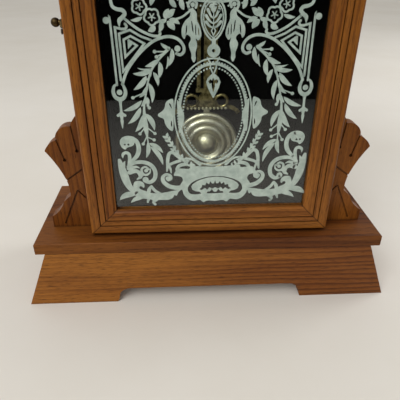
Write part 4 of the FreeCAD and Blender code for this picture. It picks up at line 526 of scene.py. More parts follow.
@dataclass(frozen=True)
class SheetGlass(Finish):
    """Old drawn sheet glass: clear, faintly green, and never quite flat."""

    tint: str = "#f6faf7"
    shadow: str = "#f8fbf9"
    bending: float = 1.52
    mirror: float = 0.27
    wave: float = 45.0
    wave_depth: float = 0.05

    def shade(self, tree: Tree, shader: Node, place: Socket) -> None:
        """Adds the clear body, the slow waves and open shadows; see Finish.shade for the arguments."""
        shader.inputs["Base Color"].default_value = linear(self.tint)
        shader.inputs["Transmission Weight"].default_value = 1.0
        shader.inputs["IOR"].default_value = self.bending
        shader.inputs["Specular IOR Level"].default_value = self.mirror
        waves = add_node(tree, "ShaderNodeTexNoise", {
            "Vector": place, "Scale": 1 / (self.wave * MM), "Detail": 0.0,
        })
        bump = add_node(tree, "ShaderNodeBump", {
            "Height": waves.outputs["Fac"], "Distance": self.wave_depth * MM, "Strength": 0.5,
        })
        tree.links.new(bump.outputs["Normal"], shader.inputs["Normal"])
        path = add_node(tree, "ShaderNodeLightPath").outputs
        unseen = add_node(tree, "ShaderNodeMath", {
            0: path["Is Shadow Ray"], 1: path["Is Diffuse Ray"],
        }, operation="MAXIMUM").outputs[0]
        clear = add_node(tree, "ShaderNodeBsdfTransparent", {"Color": linear(self.shadow)})
        both = add_node(tree, "ShaderNodeMixShader", {0: unseen, 1: shader.outputs[0], 2: clear.outputs[0]})
        tree.links.new(both.outputs[0], tree.nodes["Material Output"].inputs["Surface"])


# Shapes that repeat along a path

def pearl_tree() -> Tree:
    """Builds the tree that sets pearls or bars along a path.

    Returns:
        The geometry tree, with inputs for the count, the size, the shape and the finish.
    """
    tree = bpy.data.node_groups.new("pearls along a path", "GeometryNodeTree")
    inputs = {"Path": "Geometry", "Count": "Int", "Size": "Vector", "Rounded": "Bool", "Finish": "Material"}
    for name, kind in inputs.items():
        tree.interface.new_socket(name=name, in_out="INPUT", socket_type="NodeSocket" + kind)
    tree.interface.new_socket(name="Pearls", in_out="OUTPUT", socket_type="NodeSocketGeometry")
    given = add_node(tree, "NodeGroupInput").outputs
    path = add_node(tree, "GeometryNodeMeshToCurve", {"Mesh": given["Path"]})
    points = add_node(
        tree, "GeometryNodeResampleCurve", {"Curve": path.outputs[0], "Count": given["Count"]}, mode="COUNT"
    )
    along = add_node(tree, "GeometryNodeInputTangent")
    turn = add_node(
        tree, "FunctionNodeAlignRotationToVector", {"Vector": along.outputs[0]}, axis="X", pivot_axis="Y"
    )
    pearl = add_node(tree, "GeometryNodeMeshUVSphere", {"Segments": 10, "Rings": 6, "Radius": 0.5})
    bar = add_node(tree, "GeometryNodeMeshCube", {"Size": (1.0, 1.0, 1.0)})
    shape = add_node(tree, "GeometryNodeSwitch", {
        "Switch": given["Rounded"], "False": bar.outputs["Mesh"], "True": pearl.outputs["Mesh"],
    }, input_type="GEOMETRY")
    row = add_node(tree, "GeometryNodeInstanceOnPoints", {
        "Points": points.outputs[0], "Instance": shape.outputs[0], "Rotation": turn.outputs[0],
        "Scale": given["Size"],
    })
    solid = add_node(tree, "GeometryNodeRealizeInstances", {"Geometry": row.outputs[0]})
    done = add_node(tree, "GeometryNodeSetMaterial", {
        "Geometry": solid.outputs[0], "Material": given["Finish"],
    })
    add_node(tree, "NodeGroupOutput", {"Pearls": done.outputs[0]})
    return tree


@dataclass(frozen=True)
class PearlRow:
    """A row of like pearls or bars along a flat path."""

    tree: Tree
    count: int
    length: float
    height: float
    depth: float
    rounded: bool = True

    def lay(self, name: str, path: Line, y: float, finish: Material, closed: bool = True) -> Piece:
        """Sets the row along a path.

        Args:
            name: The piece's name.
            path: The path's points, x and z in millimetres.
            y: The depth of the pearls' middle, in millimetres.
            finish: Their finish.
            closed: True if the path comes back to its start.

        Returns:
            The row as one plain mesh piece.
        """
        corners = [(x * MM, y * MM, z * MM) for x, z in path]
        edges = [(i, i + 1) for i in range(len(corners) - 1)]
        if closed:
            edges.append((len(corners) - 1, 0))
        guide = bpy.data.meshes.new(name + "_path")
        guide.from_pydata(corners, edges, [])
        carrier = new_object(name + "_carrier", guide)
        modifier = carrier.modifiers.new("pearls", "NODES")
        modifier.node_group = self.tree
        sockets = {s.name: s.identifier for s in self.tree.interface.items_tree if s.in_out == "INPUT"}
        modifier[sockets["Count"]] = self.count
        modifier[sockets["Size"]] = (self.length * MM, self.depth * MM, self.height * MM)
        modifier[sockets["Rounded"]] = self.rounded
        modifier[sockets["Finish"]] = finish
        seen = bpy.context.evaluated_depsgraph_get()
        mesh = bpy.data.meshes.new_from_object(carrier.evaluated_get(seen), depsgraph=seen)
        bpy.data.objects.remove(carrier)
        mesh.name = name
        return new_object(name, mesh)


# Flat drawing, in millimetres: x across, z up

def smooth_line(points: Line, closed: bool = False, steps: int = 6) -> Line:
    """Runs a smooth curve through points; a third number, a width, is smoothed with them.

    Args:
        points: The points to pass through.
        closed: True if the curve comes back to its start.
        steps: How many short runs each stretch gets.

    Returns:
        The curve's points.
    """
    count = len(points)
    line: Line = []
    for i in range(count if closed else count - 1):
        places = [i - 1, i, i + 1, i + 2]
        four = [points[p % count] if closed else points[min(max(p, 0), count - 1)] for p in places]
        for step in range(steps):
            t = step / steps
            line.append(tuple(
                0.5 * (2 * b + (c - a) * t + (2 * a - 5 * b + 4 * c - d) * t ** 2
                       + (3 * b - a - 3 * c + d) * t ** 3)
                for a, b, c, d in zip(*four)
            ))
    if not closed:
        line.append(tuple(points[-1]))
    return line


def circle(centre: Point, radius: float, tall: float | None = None, steps: int = 28) -> Line:
    """Draws a circle, or an upright oval.

    Args:
        centre: Its middle.
        radius: Its radius, or half its width.
        tall: Half its height, where it is an oval.
        steps: How many points it gets.

    Returns:
        Its points.
    """
    high = radius if tall is None else tall
    turns = [2 * math.pi * i / steps for i in range(steps)]
    return [(centre[0] + radius * math.sin(t), centre[1] + high * math.cos(t)) for t in turns]


@dataclass
class Drawing:
    """Strokes and filled shapes that become one thin layer of paint.

    Each stroke lies a hair in front of the last, so that no two faces share a plane.
    """

    axis: Point = (0.0, 0.0)
    lean: float = 0.0
    thickness: float = 0.05
    step: float = 0.0015

    def __post_init__(self) -> None:
        """Starts with an empty layer."""
        self.shapes: list[tuple[int, Line]] = []
        self.count = 0

    def mirrored(self, point: Point) -> Point:
        """Reflects a point about the drawing's leaning axis."""
        up = (-math.sin(math.radians(self.lean)), math.cos(math.radians(self.lean)))
        dx = point[0] - self.axis[0]
        dz = point[1] - self.axis[1]
        along = dx * up[0] + dz * up[1]
        return (self.axis[0] + 2 * along * up[0] - dx, self.axis[1] + 2 * along * up[1] - dz)

    def add(self, polygons: list[Line], both: bool) -> None:
        """Adds the faces of one stroke or shape.

        Args:
            polygons: The faces' corners.
            both: True if the mirrored twin is added too.
        """
        self.count += 1
        self.shapes += [(self.count, polygon) for polygon in polygons]
        if both:
            self.count += 1
            self.shapes += [(self.count, [self.mirrored(p) for p in polygon]) for polygon in polygons]

    def stroke(
        self, points: Line, width: float = 2.0, both: bool = True, closed: bool = False, smooth: bool = True
    ) -> None:
        """Draws a brush stroke with round ends.

        Args:
            points: Where it passes; a third number is the stroke's own width there.
            width: The width where a point has none.
            both: True for a stroke and its mirrored twin.
            closed: True for a stroke that comes back to its start.
            smooth: False for straight runs with sharp corners.
        """
        line: Line = [(*p, width) if len(p) == 2 else p for p in points]
        if smooth:
            line = smooth_line(line, closed)
        last = len(line) - 1
        rims: list[tuple[Point, Point]] = []
        for i, (x, z, w) in enumerate(line):
            before = line[i - 1] if i > 0 or closed else line[i]
            after = line[(i + 1) % len(line)] if i < last or closed else line[i]
            come = Vector((x - before[0], z - before[1]))
            leave = Vector((after[0] - x, after[1] - z))
            come = (come if come.length > 1e-6 else leave).normalized()
            leave = (leave if leave.length > 1e-6 else come).normalized()
            middle = come + leave
            middle = middle.normalized() if middle.length > 0.1 else leave
            reach = max(w, 0.02) / 2 / max(middle.dot(leave), 0.4)
            aside, upward = -middle.y * reach, middle.x * reach
            rims.append(((x + aside, z + upward), (x - aside, z - upward)))
        pairs = list(zip(rims, rims[1:] + rims[:1])) if closed else list(zip(rims, rims[1:]))
        polygons = [[a[0], a[1], b[1], b[0]] for a, b in pairs]
        if not closed:
            polygons += [circle(p[:2], p[2] / 2, steps=14) for p in (line[0], line[-1]) if p[2] > 0.5]
        self.add(polygons, both)

    def ring(self, line: Line, width: float) -> None:
        """Draws a closed line once, without a mirrored twin."""
        self.stroke(line, width, both=False, closed=True, smooth=False)

    def leaf(self, base: Point, tip: Point, width: float, bend: float = 0.1) -> None:
        """Draws a leaf and its mirrored twin, round at the base and pointed at the tip.

        Args:
            base: Where it grows from.
            tip: Its point.
            width: Its greatest width.
            bend: How far its middle is bowed to the left, as a share of its length.
        """
        along = Vector((tip[0] - base[0], tip[1] - base[1]))
        side = Vector((-along.y, along.x))
        points: Line = []
        for i in range(9):
            t = i / 8
            spot = Vector(base[:2]) + along * t + side * (bend * 4 * t * (1 - t))
            # A leaf is fullest a little nearer its base than its tip
            swell = math.sin(math.pi * t ** 0.85) ** 0.8
            points.append((spot.x, spot.y, max(width * swell, 0.1)))
        self.stroke(points)

    def disc(self, centre: Point, radius: float) -> None:
        """Draws a filled disc and its mirrored twin."""
        self.add([circle(centre, radius, steps=22)], True)

    def shape(
        self, outline: Line, holes: tuple[Line, ...] = (), both: bool = False, smooth: bool = True
    ) -> None:
        """Fills an outline, leaving its holes open.

        Args:
            outline: The outline's points.
            holes: The outlines of the holes.
            both: True for the shape and its mirrored twin.
            smooth: False for straight runs with sharp corners.
        """
        rings = [smooth_line(ring, True, 4) if smooth else ring for ring in (outline, *holes)]
        flat = bmesh.new()
        for ring in rings:
            corners = [flat.verts.new((x, 0.0, z)) for x, z in ring]
            for a, b in zip(corners, corners[1:] + corners[:1]):
                flat.edges.new((a, b))
        bmesh.ops.triangle_fill(flat, use_beauty=True, edges=flat.edges[:], normal=(0, -1, 0))
        polygons = [[(v.co.x, v.co.z) for v in face.verts] for face in flat.faces]
        flat.free()
        self.add(polygons, both)

    def symmetric(self, half: Line) -> Line:
        """Closes the left half of an outline, from the top down, with its mirrored right half."""
        return half + [self.mirrored(point) for point in reversed(half)]

    def finish(self, name: str, y: float, material: Material) -> Piece:
        """Turns the drawing into a thin solid layer.

        Args:
            name: The piece's name.
            y: The depth of the layer's front, in millimetres.
            material: Its paint.

        Returns:
            The piece.
        """
        mesh = bmesh.new()
        for layer, polygon in self.shapes:
            depth = (y + layer * self.step) * MM
            mesh.faces.new([mesh.verts.new((x * MM, depth, z * MM)) for x, z in polygon])
        bmesh.ops.remove_doubles(mesh, verts=mesh.verts[:], dist=0.0003 * MM)
        bmesh.ops.recalc_face_normals(mesh, faces=mesh.faces[:])
        bmesh.ops.solidify(mesh, geom=mesh.faces[:], thickness=self.thickness * MM)
        bmesh.ops.triangulate(mesh, faces=mesh.faces[:])
        bmesh.ops.recalc_face_normals(mesh, faces=mesh.faces[:])
        data = bpy.data.meshes.new(name)
        mesh.to_mesh(data)
        mesh.free()
        data.materials.append(material)
        return new_object(name, data)


# The ornament on the door's glass

@dataclass
class GlassOrnament:
    """Pale enamel ornament printed on the back of the glass, a little askew on its pane.

    It is drawn as it lies on the pane: the left half as listed, the right half mirrored about
    the leaning middle line.
    """

    axis: Point = (0.8, 200.0)
    lean: float = 1.04
    oval_centre: Point = (0.6, 200.2)
    oval_half_width: float = 34.3
    oval_half_height: float = 48.9
    oval_line: float = 1.3
    band_inset: float = 4.4
    band_width: float = 2.2
    scallop_inset: float = 3.1
    pearl_inset: float = 7.8
    scallops: int = 96
    scallop: float = 1.7
    pearls: int = 80
    pearl: float = 1.6
    dial_pearls: int = 150
    dial_pearl: float = 1.5
    dial_pearl_gap: float = 3.6
    pearl_depth: float = 0.1
    pearl_lift: float = 0.2
    laurel_slimness: float = 0.84
    lens_middle: Point = (4.2, 130.0)
    dial_centre: Point = (0.0, 376.0)
    dial_ring: float = 84.0
    ring_leaf_gap: float = 7.5
    air_gap: float = 0.02

    def build(self, tree: Tree, paint: Material) -> None:
        """Draws the ornament and sets it on the glass.

        Args:
            tree: The tree that lays pearls.
            paint: The enamel.
        """
        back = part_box("door_glass")[1].y / MM + self.air_gap
        drawing = Drawing(self.axis, self.lean)
        self.draw_oval(drawing)
        self.draw_clasps(drawing)
        self.draw_medallion(drawing)
        self.draw_fret(drawing)
        self.draw_flowers(drawing)
        self.draw_eyelet(drawing)
        self.draw_laurel(drawing)
        self.draw_corner_scroll(drawing)
        self.draw_cartouche(drawing)
        self.draw_upper_glass(drawing)
        pieces = [drawing.finish("glass_ornament", back, paint)]
        rows = [
            ("ornament_scallops", self.oval(self.scallop_inset, 90), self.scallops, self.scallop),
            ("ornament_pearls", self.oval(self.pearl_inset, 90), self.pearls, self.pearl),
            ("dial_ring_pearls", circle(self.dial_centre, self.dial_ring + self.dial_pearl_gap, steps=90),
             self.dial_pearls, self.dial_pearl),
        ]
        for name, path, count, size in rows:
            row = PearlRow(tree, count, size, size, self.pearl_depth)
            pieces.append(row.lay(name, path, back + self.pearl_lift, paint))
        for piece in pieces:
            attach(piece, "door")
            log.info("%s rides on the door", piece.name)

    def oval(self, inset: float, steps: int) -> Line:
        """Draws an oval inside the frame's outer edge, turned about the ornament's middle by its lean."""
        line = circle(self.oval_centre, self.oval_half_width - inset, self.oval_half_height - inset, steps)
        turn = math.radians(self.lean)
        return [
            (
                self.axis[0] + (x - self.axis[0]) * math.cos(turn) - (z - self.axis[1]) * math.sin(turn),
                self.axis[1] + (x - self.axis[0]) * math.sin(turn) + (z - self.axis[1]) * math.cos(turn),
            )
            for x, z in line
        ]

    def draw_oval(self, d: Drawing) -> None:
        """Draws the oval frame round the pendulum and the shield that hangs in it."""
        for inset, width in ((0.0, self.oval_line), (self.band_inset, self.band_width)):
            d.ring(self.oval(inset, 60), width)
        d.shape([(-31, 214), (-27.5, 208), (-25, 200), (-26.2, 191), (-29.5, 184), (-30.5, 200)], both=True)
        shield = d.symmetric([
            (0.1, 237), (-1.4, 236.2), (-4.6, 233), (-5.9, 229.4), (-4.4, 224.4), (-1.8, 219.4),
            (0.1, 215.8),
        ])
        lily = d.symmetric([
            (0.1, 232.8), (-1.0, 230.8), (-2.5, 232), (-4.0, 230), (-2.8, 227.8), (-1.2, 228.8),
            (-1.0, 225.6), (0.2, 221),
        ])
        d.shape(shield, (lily,), smooth=False)
        d.stroke([(-5.0, 249.6, 1.3), (-2.9, 245.4, 1.2), (-2.1, 241, 1.2), (-0.2, 236.4, 1.4)])

    def draw_clasps(self, d: Drawing) -> None:
        """Draws the palmette on each side of the oval and the sprig below it."""
        slits = (
            [(-38.2, 211.2), (-36.6, 210.4), (-35.8, 206.5), (-37.2, 208.6)],
            [(-36.6, 195.5), (-35.9, 194.0), (-36.0, 190.0), (-37.1, 191.5)],
        )
        d.shape([
            (-34.2, 214), (-37.5, 214.6), (-40.8, 212), (-42, 207.4), (-44.2, 204.4), (-48, 201.6),
            (-47.2, 199.2), (-43.2, 197.2), (-42, 192.5), (-39.4, 188.2), (-35.2, 186.4), (-34.4, 200),
        ], slits, both=True)
        stem = [(-40.2, 179.5), (-36, 171.5), (-31, 163), (-24, 155)]
        d.stroke(stem, 1.4)
        for i in range(6):
            x, z = smooth_line(stem, steps=2)[i]
            d.leaf((x, z), (x - 4.6, z + 1.8), 2.6)
            d.leaf((x, z), (x + 0.2, z + 4.8), 2.6)

    def draw_medallion(self, d: Drawing) -> None:
        """Draws the pointed fan medallion over the oval, and the disc under it."""
        rim = [
            (-0.6, 294.4), (-4.8, 293.4), (-8.6, 289), (-10.2, 282.5), (-9.6, 275.5), (-6.8, 269),
            (-3.4, 264.8), (-0.2, 262.6),
        ]
        d.stroke(rim, 1.5)
        middle = (-0.6, 279.2)
        inner = [(middle[0] + 0.82 * (x - middle[0]), middle[1] + 0.85 * (z - middle[1])) for x, z in rim]
        d.stroke(inner, 0.9)
        ribs = [
            ((-2.6, 289.6), 284.4), ((-5.2, 286.4), 280), ((-6.6, 282), 276.2), ((-6.4, 277.2), 273),
        ]
        for tip, foot in ribs:
            bend = (0.5 * tip[0] - 0.4, 0.45 * tip[1] + 0.55 * foot - 0.8)
            d.stroke([(-0.9, foot, 1.0), (*bend, 1.7), (*tip, 2.4)])
        d.stroke([(-0.7, 290.6, 2.2), (-0.6, 284, 0.8), (-0.5, 273.4, 0.8)], both=False)
        d.stroke([(-0.3, 274), (-2.2, 270.6), (-0.3, 266.8)], 1.0, smooth=False)
        d.stroke([(-0.1, 263.6), (0.0, 259.8)], 3.4, both=False)
        d.ring(circle((0.0, 255.2), 3.4), 4.0)

    def draw_fret(self, d: Drawing) -> None:
        """Draws the upright lines, the three-cornered fret and the great scroll under it."""
        d.stroke([(-83.2, 279.4), (-82.6, 276), (-81.5, 227.5)], 1.8)
        d.disc((-85.6, 278.4), 2.6)
        d.stroke([(-85.6, 280), (-83.2, 279.6)], 1.6)
        d.stroke([(-73.5, 271.9), (-79.2, 273.2), (-78, 231.5)], 1.9, smooth=False)
        d.stroke([(-74, 272), (-71.2, 272.2), (-69.9, 274), (-71, 275.8)], 2.0)
        d.stroke([
            (-51.2, 263.6), (-59, 266.4), (-67.5, 271.3), (-76.4, 268.4), (-75.4, 238.8), (-56.6, 260.9),
            (-67.4, 266.7), (-73, 264), (-72.6, 250.6), (-62.8, 259.4), (-69, 263.4),
        ], 1.8, smooth=False)
        d.shape([(-69.9, 264), (-65.6, 261), (-70, 256.6)], both=True, smooth=False)
        d.stroke([
            (-77, 228), (-72.4, 239), (-62.5, 251.8), (-52, 261), (-44, 265), (-36, 266.3), (-29.2, 264.2),
            (-25, 259.4), (-24.6, 254.8), (-27.4, 252.1), (-30.6, 253),
        ], 2.4)
        d.disc((-29.8, 256.9), 2.5)
        d.stroke([(-71, 279.5), (-62, 272.6), (-52.4, 267.8), (-46, 266.6), (-43.6, 268), (-43.8, 270)], 2.1)
        d.stroke([
            (-80.6, 306, 2.0), (-80.8, 296, 2.2), (-80, 289, 2.5), (-76.5, 286.6, 2.7), (-72.6, 285.9, 3.0),
            (-70.6, 283.4, 3.0), (-72.8, 280.6, 3.0), (-75.3, 278.2, 3.2), (-75.6, 273.8, 0.6),
        ])

    def draw_flowers(self, d: Drawing) -> None:
        """Draws the two open flowers, their leaves and the tassel by the medallion."""
        petals = 5
        star = 2.7
        for centre, radius, turn in [((-59.2, 288.4), 5.7, 0.2), ((-49.6, 281), 6.1, 0.9)]:
            turns = [2 * math.pi * i / 40 for i in range(40)]
            lobes = [radius * (0.83 + 0.2 * abs(math.cos(petals / 2 * t + turn))) for t in turns]
            rim = [(centre[0] + r * math.cos(t), centre[1] + r * math.sin(t)) for r, t in zip(lobes, turns)]
            d.stroke(rim, 1.5, closed=True, smooth=False)
            for i in range(petals):
                t = 2 * math.pi * i / petals - turn * 0.4
                far = (centre[0] + star * math.cos(t), centre[1] + star * math.sin(t))
                d.stroke([centre, far], 1.0)
        for base, tip, width in [
            ((-57, 281), (-66.5, 278.6), 3.0), ((-47.2, 274.2), (-53.2, 270.6), 4.6),
            ((-42.2, 277.6), (-44.2, 270), 4), ((-38.5, 279), (-36, 287), 4.8),
            ((-36.5, 280), (-31, 286.6), 4.6), ((-36, 279), (-27.6, 275.6), 3.8),
            ((-38, 277.5), (-32, 271), 5.2), ((-38, 279), (-45.5, 277.6), 3.4),
        ]:
            d.leaf(base, tip, width)
        d.stroke([(-32, 279), (-26, 280.8), (-21, 284.2), (-17.4, 287)], 1.6)
        d.stroke([(-19.8, 286.8), (-20.8, 290.4), (-17.6, 293.2), (-14.2, 291.2), (-14.8, 287.8)], 2.0)
        d.disc((-17.2, 289.8), 1.7)
        slits = (
            [(-18.4, 277.4), (-17.6, 277), (-16.6, 269.6), (-17.6, 270.8)],
            [(-15.2, 275), (-14.6, 274), (-14.4, 267.6), (-15.2, 268.6)],
            [(-22.6, 273.6), (-21.8, 274.4), (-22, 269.8), (-23, 267.6)],
            [(-12.9, 272.4), (-12.3, 272), (-12, 267.4), (-12.7, 268)],
        )
        d.shape([
            (-17.2, 287), (-18.9, 284.6), (-19.6, 281.3), (-23.3, 278), (-26, 272.7), (-26, 267),
            (-24, 264.4), (-22.4, 267.6), (-19.8, 266.6), (-18.8, 264), (-20.6, 259.6), (-18.6, 253.3),
            (-18, 248.4), (-16.4, 245.8), (-14.8, 248.4), (-15, 253.3), (-13.6, 259.6), (-14.7, 264.6),
            (-12.6, 263.2), (-10.2, 267.6), (-11.6, 274), (-13.8, 278.7), (-14.2, 284),
        ], slits, both=True)
        d.disc((-16.6, 249.6), 1.9)

    def draw_eyelet(self, d: Drawing) -> None:
        """Draws the eyelet and drop at the foot of the upright lines."""
        d.stroke([
            (-81.6, 228.4, 1.6), (-84.2, 226.2, 2.4), (-85.3, 221.5, 3.0), (-83.6, 217, 3.4),
            (-80, 215.2, 3.8), (-76.4, 217, 3.4), (-74.9, 221.5, 3.0), (-76, 226.2, 2.4), (-77, 228.6, 1.8),
        ])
        d.disc((-80, 221.2), 2.4)
        d.stroke([(-80, 215, 4.0), (-80, 211, 2.2), (-80, 205, 2.2), (-80, 201.5, 3.0)])
        d.stroke([(-83, 200.8), (-80, 202.2), (-77, 200.8)], 2.6)
        d.stroke([(-80, 202, 4.4), (-80, 197.5, 2.2), (-80, 195.6, 2.8), (-80, 189, 0.6)])

    def draw_laurel(self, d: Drawing) -> None:
        """Draws the laurel branch that hangs from the great scroll."""
        d.stroke([
            (-37, 257, 3.0), (-44, 250, 2.0), (-51.5, 240.5, 1.8), (-55.6, 229, 1.6), (-58, 218, 1.6),
            (-60, 206, 2.0), (-59.4, 190, 4.4), (-58.6, 180, 1.6), (-58, 173, 1.2),
        ])
        leaves = [
            ((-36, 257), (-43.4, 261.4), 3.4), ((-34.5, 257), (-37.4, 243), 4.6),
            ((-38, 251), (-39.8, 240.4), 2.2), ((-45, 249), (-57.2, 242.8), 4.8),
            ((-45, 246.5), (-46.4, 232.6), 5.0), ((-52, 241), (-63.6, 241.6), 1.9),
            ((-51.5, 240), (-67.6, 237), 4.8), ((-52, 238.5), (-57.2, 231), 2.0),
            ((-50.6, 238), (-47, 226.4), 4.4), ((-56.5, 235), (-68, 223.2), 5.4),
            ((-55, 229), (-52.8, 211.8), 5.0), ((-56, 227), (-63.6, 216.6), 4.0),
            ((-57.8, 217), (-62.4, 208.6), 4.0), ((-61.5, 214), (-78, 205), 5.0),
            ((-63, 208), (-75, 193), 5.4), ((-60.6, 202), (-69, 185.4), 6.0),
            ((-59, 202), (-51.8, 186.6), 5.6), ((-58.8, 175), (-60.8, 159.8), 4.6),
            ((-57.6, 174), (-45, 164.4), 5.0), ((-56.5, 171), (-45.4, 152), 5.2),
            ((-57, 217), (-57.4, 208), 3.4),
        ]
        for base, tip, width in leaves:
            d.leaf(base, tip, self.laurel_slimness * width)
        for base, berry in [
            ((-40, 254.5), (-48.6, 254.6)), ((-43, 252.6), (-47.2, 250.4)), ((-59.5, 220.5), (-69, 216.4)),
            ((-57.4, 214), (-55.4, 207.4)), ((-60, 189.5), (-65, 183.4)), ((-58, 189), (-51.6, 183.6)),
            ((-58.8, 181), (-62.7, 173.6)), ((-58.2, 180), (-52.6, 177.4)),
        ]:
            d.stroke([base, berry], 1.1)
            d.disc(berry, 1.5)

    def draw_corner_scroll(self, d: Drawing) -> None:
        """Draws the acanthus scroll in the lower corner and the spray along the bottom."""
        d.stroke([
            (-74.5, 156, 3.0), (-68.8, 162.6, 4.0), (-67, 170, 4.0), (-69.2, 177, 3.8), (-75, 179.6, 3.6),
        ])
        eyes = (circle((-79.4, 173.2), 0.9, steps=9), circle((-76.2, 173.2), 1.0, steps=9))
        d.shape([
            (-69.6, 179.6), (-75.6, 181.7), (-81.4, 180), (-83.8, 175.6), (-82.4, 170.6), (-79.4, 168.3),
            (-77.4, 170.2), (-72.6, 171.8), (-70.8, 174),
        ], eyes, both=True)
        d.stroke([
            (-82.2, 160.2, 0.8), (-82, 163.4, 2.6), (-79, 165.2, 3.0), (-76.2, 163, 3.0), (-76.4, 155, 3.6),
            (-78, 149, 3.4),
        ])
        d.stroke([
            (-85.6, 157.8, 3.0), (-84.6, 152.5, 5.4), (-82.6, 143, 7.6), (-80.4, 134.4, 7.0),
            (-77, 127.4, 5.6), (-71.6, 122.2, 4.6),
        ])
        d.leaf((-82, 148), (-80.4, 157), 3.0)
        d.stroke([
            (-78, 151, 3.0), (-72, 154.8, 3.4), (-64, 155.4, 3.8), (-57, 152.4, 3.9), (-53.2, 146, 3.9),
            (-53.8, 138.4, 3.9), (-58.6, 134.2, 3.8), (-63.4, 136, 3.6),
        ])
        d.disc((-62.6, 137), 2.9)
        d.stroke([
            (-57.6, 148.8, 0.6), (-58.2, 144.4, 1.6), (-62, 142, 2.2), (-65.4, 144.2, 2.4),
            (-65.4, 148.6, 2.2), (-62, 150.4, 2.0), (-59.2, 148, 2.2),
        ])
        d.disc((-61.6, 146.5), 1.8)
        d.stroke([(-76.5, 149, 3.4), (-71, 150.6, 2.6), (-67.6, 149.4, 0.6)])
        d.stroke([
            (-77, 145, 4.6), (-71.4, 146.4, 4.0), (-68, 144, 3.6), (-67.2, 140.2, 3.6), (-70.6, 137.6, 1.2),
        ])
        d.stroke([(-68, 142.8, 3.2), (-65, 141.4, 1.4)])
        d.shape([
            (-74.6, 131.6), (-73, 135), (-69, 135.8), (-65.2, 134), (-64, 130.4), (-65, 128.2),
            (-66.4, 129.6), (-68.4, 130), (-69, 127.6), (-66.2, 125.8), (-62, 124), (-60.6, 121),
            (-68, 119), (-77, 122), (-75, 127),
        ], both=True)
        d.shape([
            (-77, 123), (-70, 124.6), (-62, 123), (-52, 121.8), (-44, 122.8), (-36, 124.4), (-29.5, 125.2),
            (-31.6, 122.6), (-33.4, 118.4), (-35.4, 119.6), (-37.4, 116.2), (-42, 114.4), (-52, 114.2),
            (-56, 112.4), (-58, 114.8), (-64, 116), (-70, 117.6),
        ], both=True)
        d.leaf((-72, 121), (-89, 115), 6.2, -0.16)
        d.leaf((-62, 118.5), (-78.4, 111.8), 5.0, -0.12)
        d.stroke([(-60.4, 117.5, 3.0), (-61.8, 112.4, 2.2)])
        d.stroke([(-53.5, 114.6, 3.4), (-56.2, 112, 2.6), (-54.6, 109.6, 2.6)])
        d.stroke([(-60.6, 121, 3.0), (-59.8, 126, 3.6), (-57.4, 129.8, 2.4)])
        d.stroke([(-57.4, 129.8, 2.4), (-54, 124.6, 3.0), (-49, 121.6, 2.4)])

    def draw_cartouche(self, d: Drawing) -> None:
        """Draws the cartouche under the oval with its pierced lens and its side curls."""
        middle = d.axis
        d.axis = self.lens_middle
        body = d.symmetric([
            (3.9, 149.6), (-8, 149.8), (-19, 150.4), (-21, 147.6), (-31.5, 147.8), (-35.6, 141.4),
            (-32.6, 140.4), (-28.4, 139.2), (-27, 135.4), (-29.4, 131), (-30.6, 126.6), (-27.6, 124.6),
            (-26.4, 120), (-22.4, 114.8), (-17, 112.6), (-10.6, 113.6), (-7, 110.8), (-3, 112.6),
            (4.4, 112),
        ])
        lens = d.symmetric([
            (4.1, 139.6), (-3, 139), (-9, 137.4), (-14.6, 135.2), (-19.6, 131.8), (-22.2, 127.6),
            (-22, 123.4), (-19.4, 120.4), (-14, 119.8), (-8, 120.6), (4.2, 120.6),
        ])
        cloud = d.symmetric([
            (4.1, 138.8), (-3, 138), (-9, 136.2), (-13.6, 134.2), (-17.6, 131), (-19, 128.2), (-17.8, 125),
            (-14.4, 123.2), (-11, 122.8), (-9, 120.6), (-6, 118.6), (4.2, 118.4),
        ])
        bat = d.symmetric([
            (4.1, 135), (3.2, 131.8), (1.4, 131.4), (-0.6, 134), (-1.8, 130.8), (-4.4, 132.8),
            (-5.4, 129.6), (-8.4, 130.2), (-8.8, 127.6), (-11.2, 125.4), (-8.6, 124.6), (-5.6, 126.8),
            (-3.4, 124.8), (-1.2, 127.4), (1.4, 125.8), (4.2, 127.4),
        ])
        crown = d.symmetric([
            (4.2, 122.4), (2.6, 122.8), (1.2, 125.6), (-0.8, 122.8), (-3.2, 122.8), (-4.0, 119.8),
            (4.2, 119.8),
        ])
        d.shape(body, (lens,))
        d.shape(cloud, (bat, crown), smooth=False)
        d.axis = middle
        d.stroke([
            (-28.6, 127.6, 5.0), (-34.4, 127.6, 4.6), (-41, 129.8, 4.4), (-45.6, 134.6, 4.0),
            (-46, 139.4, 3.4), (-42.6, 142.2, 2.8), (-38.8, 140.6, 2.6), (-38.4, 137.4, 2.6),
            (-41, 135.8, 2.4),
        ])
        d.disc((-41.2, 137.8), 2.4)
        d.stroke([
            (-42, 145.6, 1.6), (-41.2, 151, 2.8), (-40.8, 158, 3.2), (-39.2, 163.6, 3.2),
            (-35.8, 164.6, 3.2), (-31.6, 161, 3.4), (-26.6, 157.4, 3.6), (-20, 153.6, 4.0),
        ])
        d.stroke([(-41, 151.4, 2.6), (-35, 154.4, 2.8), (-27.5, 156.8, 3.0)])
        d.stroke([(-40.6, 152, 2.6), (-38.6, 148, 2.2), (-38, 143.6, 1.0)])
        d.stroke([(-32.6, 147.4, 3.0), (-30, 151, 3.4), (-24, 152.6, 3.6), (-17, 151.2, 3.6)])
        d.stroke([(-24, 158.6, 1.8), (-17, 157, 2.2), (-10.6, 151.6, 2.8)])

